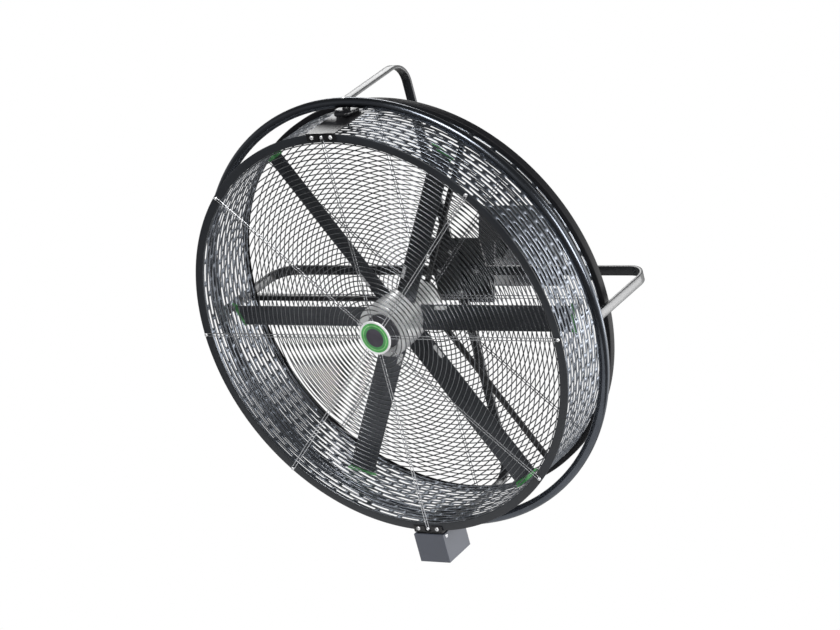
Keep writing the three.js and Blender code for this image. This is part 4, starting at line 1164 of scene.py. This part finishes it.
# %% [markdown]
# ## Terminal box
#
# The motor's leads end in a folded sheet-metal box under the drum, a little to the left of the
# middle. A dark pad spaces it from the bracket. The box has the small corner radii of folded sheet,
# and one bright screw on its right side holds the cover.

# %% Box, pad and screw
BOX_WIDTH, BOX_SHIFT, BOX_FRONT, BOX_DEPTH, BOX_HEIGHT = 150, -5, -209, 165, 131
BOX_PAD, BOX_PAD_INSET = 10, 12
box_top = -(bracket_base + BRACKET_SHEET + CLEARANCE + BOX_PAD)
box_middle_y = BOX_FRONT + BOX_DEPTH / 2
piece("terminal_housing", block(BOX_WIDTH, BOX_DEPTH, BOX_HEIGHT, BOX_SHIFT, box_middle_y, box_top - BOX_HEIGHT / 2),
      "drum", "grey_paint", "grey_paint", ["terminal_box"], soften=2.5, segments=3)
piece("box_pad", block(BOX_WIDTH - 2 * BOX_PAD_INSET, BOX_DEPTH - 2 * BOX_PAD_INSET, BOX_PAD + 1, BOX_SHIFT,
                       box_middle_y, box_top + BOX_PAD / 2 - 0.5), "drum", "black_paint", "black_paint", soften=0.8)
box_screw = moved(button_head(8.5, 4.5, 0, 2.8), Matrix.Rotation(math.pi / 2, 4, "Z"))
piece("box_screw", moved(box_screw, Matrix.Translation((BOX_SHIFT + BOX_WIDTH / 2, -186, box_top - 13))),
      "drum", "steel", "steel", sharp=40)

# %% [markdown]
# ## Badge
#
# A round badge covers the middle of the front guard: a bright turned rim, a green ring, a thin pale
# line, a deeper green ring, and a dark, slightly domed middle, which is left plain. Each is a turned
# profile with its own finish.

# %% Turn the badge
BADGE_RADIUS, BADGE_HEIGHT, BADGE_RIM_INSIDE, BADGE_MIDDLE = 75, 8, 66, 42
badge_back = DRUM_FRONT - 0.6 - WIRE
badge_face = badge_back - BADGE_HEIGHT
rim_corners = [(0, badge_back), (BADGE_RADIUS, badge_back), (BADGE_RADIUS, badge_face + 1),
               (BADGE_RADIUS - 4, badge_face), (BADGE_RIM_INSIDE, badge_face + 1.5),
               (BADGE_RIM_INSIDE, badge_face + 3), (0, badge_face + 3)]
piece("badge_rim", turned(rounded(rim_corners, [0, 1, 2, 3, 0.6, 0, 0], 3), 96), "drum", "polished_aluminium",
      "polished_aluminium", ["badge"], sharp=40)
for name, outer, inner, rise, finish in (("badge_ring", BADGE_RIM_INSIDE, 56, 2.0, "badge_green"),
                                         ("badge_line", 56, 53.5, 1.4, "badge_line"),
                                         ("badge_inner", 53.5, BADGE_MIDDLE, 1.8, "badge_deep_green")):
    piece(name, turned([(inner, badge_face + 3.2), (outer, badge_face + 3.2), (outer, badge_face + rise),
                        (inner, badge_face + rise)], 96), "drum", finish, "green_plastic", sharp=40)
dome = [(0, badge_face + 3.2), (BADGE_MIDDLE, badge_face + 3.2), (BADGE_MIDDLE, badge_face + 1.6)]
dome += [(BADGE_MIDDLE * math.cos(a), badge_face + 1.6 - 1.2 * math.sin(a)) for a in quarter_turn(6, 1)]
piece("badge_middle", turned(dome, 96), "drum", "badge_dark", "dark_plastic", sharp=40)

# %% [markdown]
# ## Motor and its arms
#
# Three square arms in the rear face of the drum hold the motor. They are tube with rounded
# corners, and the casing is a spun cup that carries on the taper of the rotor's hub.

# %% Arms, mount plate and casing
ARM_TUBE, ARM_START = 20, 40
AXLE_HOLE, CASING_BACK = 20 + CLEARANCE, 104
arm_rear = DRUM_REAR - REAR_DEPTH + RING_SHEET + CLEARANCE + ARM_TUBE
arm_end = DRUM_RADIUS - LIP_SHEET - 4


def motor_arm(angle):
    section = rounded(rectangle(ARM_TUBE, ARM_TUBE), 3, 3)
    tube = along([(ARM_START, 0, 0), (300, 0, 0), (600, 0, 0), (arm_end, 0, 0)], section, (0, 0, 1))
    tube = moved(tube, Matrix.Translation((0, arm_rear - ARM_TUBE / 2, 0)))
    return moved(tube, Matrix.Rotation(-math.radians(angle), 4, "Y"))

for label, angle in (("left", 180), ("upper", 60), ("lower", -60)):
    piece(f"square_arm_{label}", motor_arm(angle), "drum", "black_paint", "black_paint",
          [f"motor_arm_{label}"], sharp=40)

mount_rear = arm_rear - ARM_TUBE - CLEARANCE
mount_face = mount_rear - 7
plate_corners = [(AXLE_HOLE, mount_face), (CASING_BACK, mount_face),
                 (CASING_BACK, mount_rear), (AXLE_HOLE, mount_rear)]
piece("motor_plate", turned(rounded(plate_corners, 1.2, 2), 96), "drum", "black_paint", "black_paint",
      ["motor_mount_plate"], sharp=40)
CASING_FRONT, CASING_REAR = 34, mount_face - CLEARANCE
casing_corners = [(AXLE_HOLE, CASING_FRONT), (110, CASING_FRONT), (CASING_BACK, CASING_REAR), (98, CASING_REAR),
                  (104, CASING_FRONT + 8), (AXLE_HOLE, CASING_FRONT + 8)]
piece("spun_casing", turned(rounded(casing_corners, [0, 2.5, 1.5, 1, 2, 0], 3), 128), "drum", "polished_aluminium",
      "polished_aluminium", ["motor_casing"], sharp=40)

# %% [markdown]
# ## Rotor
#
# The rotor is a polished hub with a dark cover set in its front, and six straight blades. A blade
# is one length of extruded aluminium, so its section is the same all along: flat in front, rounded
# at the leading edge, thin at the trailing edge. Bright root plates clamp it, and a green moulded
# tip closes it.
# One blade is drawn and the tree turns it into six, which also stores where each point was on
# the first blade, so that the fine lines of the extrusion run along every blade.

# %% Hub and the cover in its front
HUB_FRONT, HUB_REAR = -150, 30
HUB_FRONT_RADIUS, HUB_REAR_RADIUS = 117, 113
HUB_DISC, HUB_BORE = 77, 35
hub_face = HUB_FRONT + 10
disc_hole = HUB_DISC + 0.6
hub_corners = [(HUB_BORE, hub_face), (disc_hole, hub_face), (disc_hole, HUB_FRONT), (HUB_FRONT_RADIUS, HUB_FRONT),
               (HUB_REAR_RADIUS, HUB_REAR), (HUB_BORE, HUB_REAR), (HUB_BORE, HUB_REAR - 12),
               (HUB_REAR_RADIUS - 8, HUB_REAR - 12), (HUB_FRONT_RADIUS - 8, hub_face + 12), (HUB_BORE, hub_face + 12)]
piece("spun_hub", turned(rounded(hub_corners, [0, 0, 2, 6, 2, 1, 0, 0, 0, 0], 5), 128), "rotor", "polished_aluminium",
      "polished_aluminium", ["hub"], sharp=40)
disc_front = HUB_FRONT + 3
disc_corners = [(0, disc_front + 6), (HUB_DISC, disc_front + 6), (HUB_DISC, disc_front), (30, disc_front),
                (28, disc_front + 1.5), (0, disc_front + 1.5)]
piece("hub_cover", turned(rounded(disc_corners, [0, 0, 1.5, 0.5, 0.5, 0], 2), 96), "rotor", "cover_paint",
      "dark_plastic", ["hub_disc"], sharp=40)

# %% Blade section
BLADES, BLADE_TIP, BLADE_CHORD, BLADE_THICKNESS = 6, 834, 107, 15
BLADE_PITCH, BLADE_PLANE = math.radians(15.8), -12
STATIONS = [0, 0.012, 0.035, 0.07, 0.12, 0.19, 0.28, 0.4, 0.52, 0.64, 0.76, 0.87, 0.95, 1]
CAMBER = [0, 0.32, 0.55, 0.73, 0.87, 0.96, 1.0, 1.0, 0.91, 0.76, 0.56, 0.35, 0.19, 0.10]


def blade_section():
    back = [(BLADE_CHORD * (0.5 - s), -BLADE_THICKNESS * c * 0.8) for s, c in zip(STATIONS, CAMBER)]
    front = [(BLADE_CHORD * (0.5 - s), BLADE_THICKNESS * c * 0.2) for s, c in zip(STATIONS, CAMBER)][1:]
    return back + front[::-1]


def on_blade(chordwise, outward, towards_front):
    """A point of the first blade: along its chord, out from the axis, and off its face."""
    c, s = math.cos(BLADE_PITCH), math.sin(BLADE_PITCH)
    return (outward, BLADE_PLANE + chordwise * s - towards_front * c, chordwise * c + towards_front * s)


def blade_drawing():
    root = 108
    outline = blade_section()
    n, spans = len(outline), [root, 350, 600, BLADE_TIP]
    points = [on_blade(u, span, v) for span in spans for u, v in outline]
    faces = [(j * n + i, j * n + (i + 1) % n, (j + 1) * n + (i + 1) % n, (j + 1) * n + i)
             for j in range(len(spans) - 1) for i in range(n)]
    faces += [tuple(range(n))[::-1], tuple(range((len(spans) - 1) * n, len(spans) * n))]
    return points, faces

set_down(as_object("extruded_blades", copies_round("extruded_blades", blade_drawing(), BLADES, "anodised_aluminium")),
         ON_DRUM, "rotor", "anodised_aluminium", "anodised_aluminium",
         [f"blade_{k + 1}" for k in range(BLADES)], sharp=30)

# %% Bright root plates
ROOT_PLATE = (176, 238, 32, 49)      # from and to along the blade, from and to along the chord
ROOT_SHEET = 1.6


def root_plate_drawing():
    a, b, low, high = ROOT_PLATE
    lift = BLADE_THICKNESS * 0.2
    outline = rounded([(a, low), (b, low), (b, high), (a, high)], 4, 3)
    return thick(outline, ROOT_SHEET, lambda u, v, d: on_blade(v, u, lift - 0.4 + d))

set_down(as_object("root_plates", copies_round("root_plates", root_plate_drawing(), BLADES, "bright_plate")),
         ON_DRUM, "rotor", "bright_plate", "polished_aluminium", soften=0.4)

# %% Green tips
TIP_SHEET, TIP_REACH, TIP_LEAD = 6, 22, 14
TIP_SWEEP, TIP_NOSE = 11, 11


def tip_outline():
    half, start = BLADE_CHORD / 2, BLADE_TIP + CLEARANCE
    outline = [(start, -half), (start + TIP_REACH * 0.6, -half - TIP_SWEEP * 0.8),
               (start + TIP_REACH, -half - TIP_SWEEP)]

    def bent(a, b, c, steps=8):
        return [tuple(Vector(a) * (1 - t) ** 2 + Vector(b) * 2 * t * (1 - t) + Vector(c) * t * t)
                for t in [k / steps for k in range(1, steps + 1)]]
    first = (start + TIP_REACH, -half - TIP_SWEEP)
    second = (start + TIP_LEAD, half + TIP_NOSE)
    outline += bent(first, (start + TIP_REACH + 2, 0), second)
    outline += bent(second, (start + TIP_LEAD * 0.5, half + TIP_NOSE), (start, half), 5)
    return outline


def tip_drawing():
    sunk = -TIP_SHEET / 2 - BLADE_THICKNESS * 0.25
    return thick(tip_outline(), TIP_SHEET, lambda u, v, d: on_blade(v, u, sunk + d))

set_down(as_object("green_tips", copies_round("green_tips", tip_drawing(), BLADES, "green_plastic")),
         ON_DRUM, "rotor", "green_plastic", "green_plastic", [f"winglet_{k + 1}" for k in range(BLADES)], soften=1.2)

# %% [markdown]
# ## Hidden pieces
#
# The axle, bearings and stator sit inside the hub. Their CAD shape is right, so they stay and only
# get a real finish, in case the hub is ever taken off.

# %% Finish the hidden CAD pieces
for node, finish in (("axle", "steel"), ("front_bearing", "steel"), ("rear_bearing", "steel"),
                     ("stator", "copper_winding")):
    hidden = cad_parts[node]
    hidden.data.materials.clear()
    hidden.data.materials.append(finishes[finish])

# %% [markdown]
# ## Bring the scene up to date

# %% Update the view layer
bpy.context.view_layer.update()
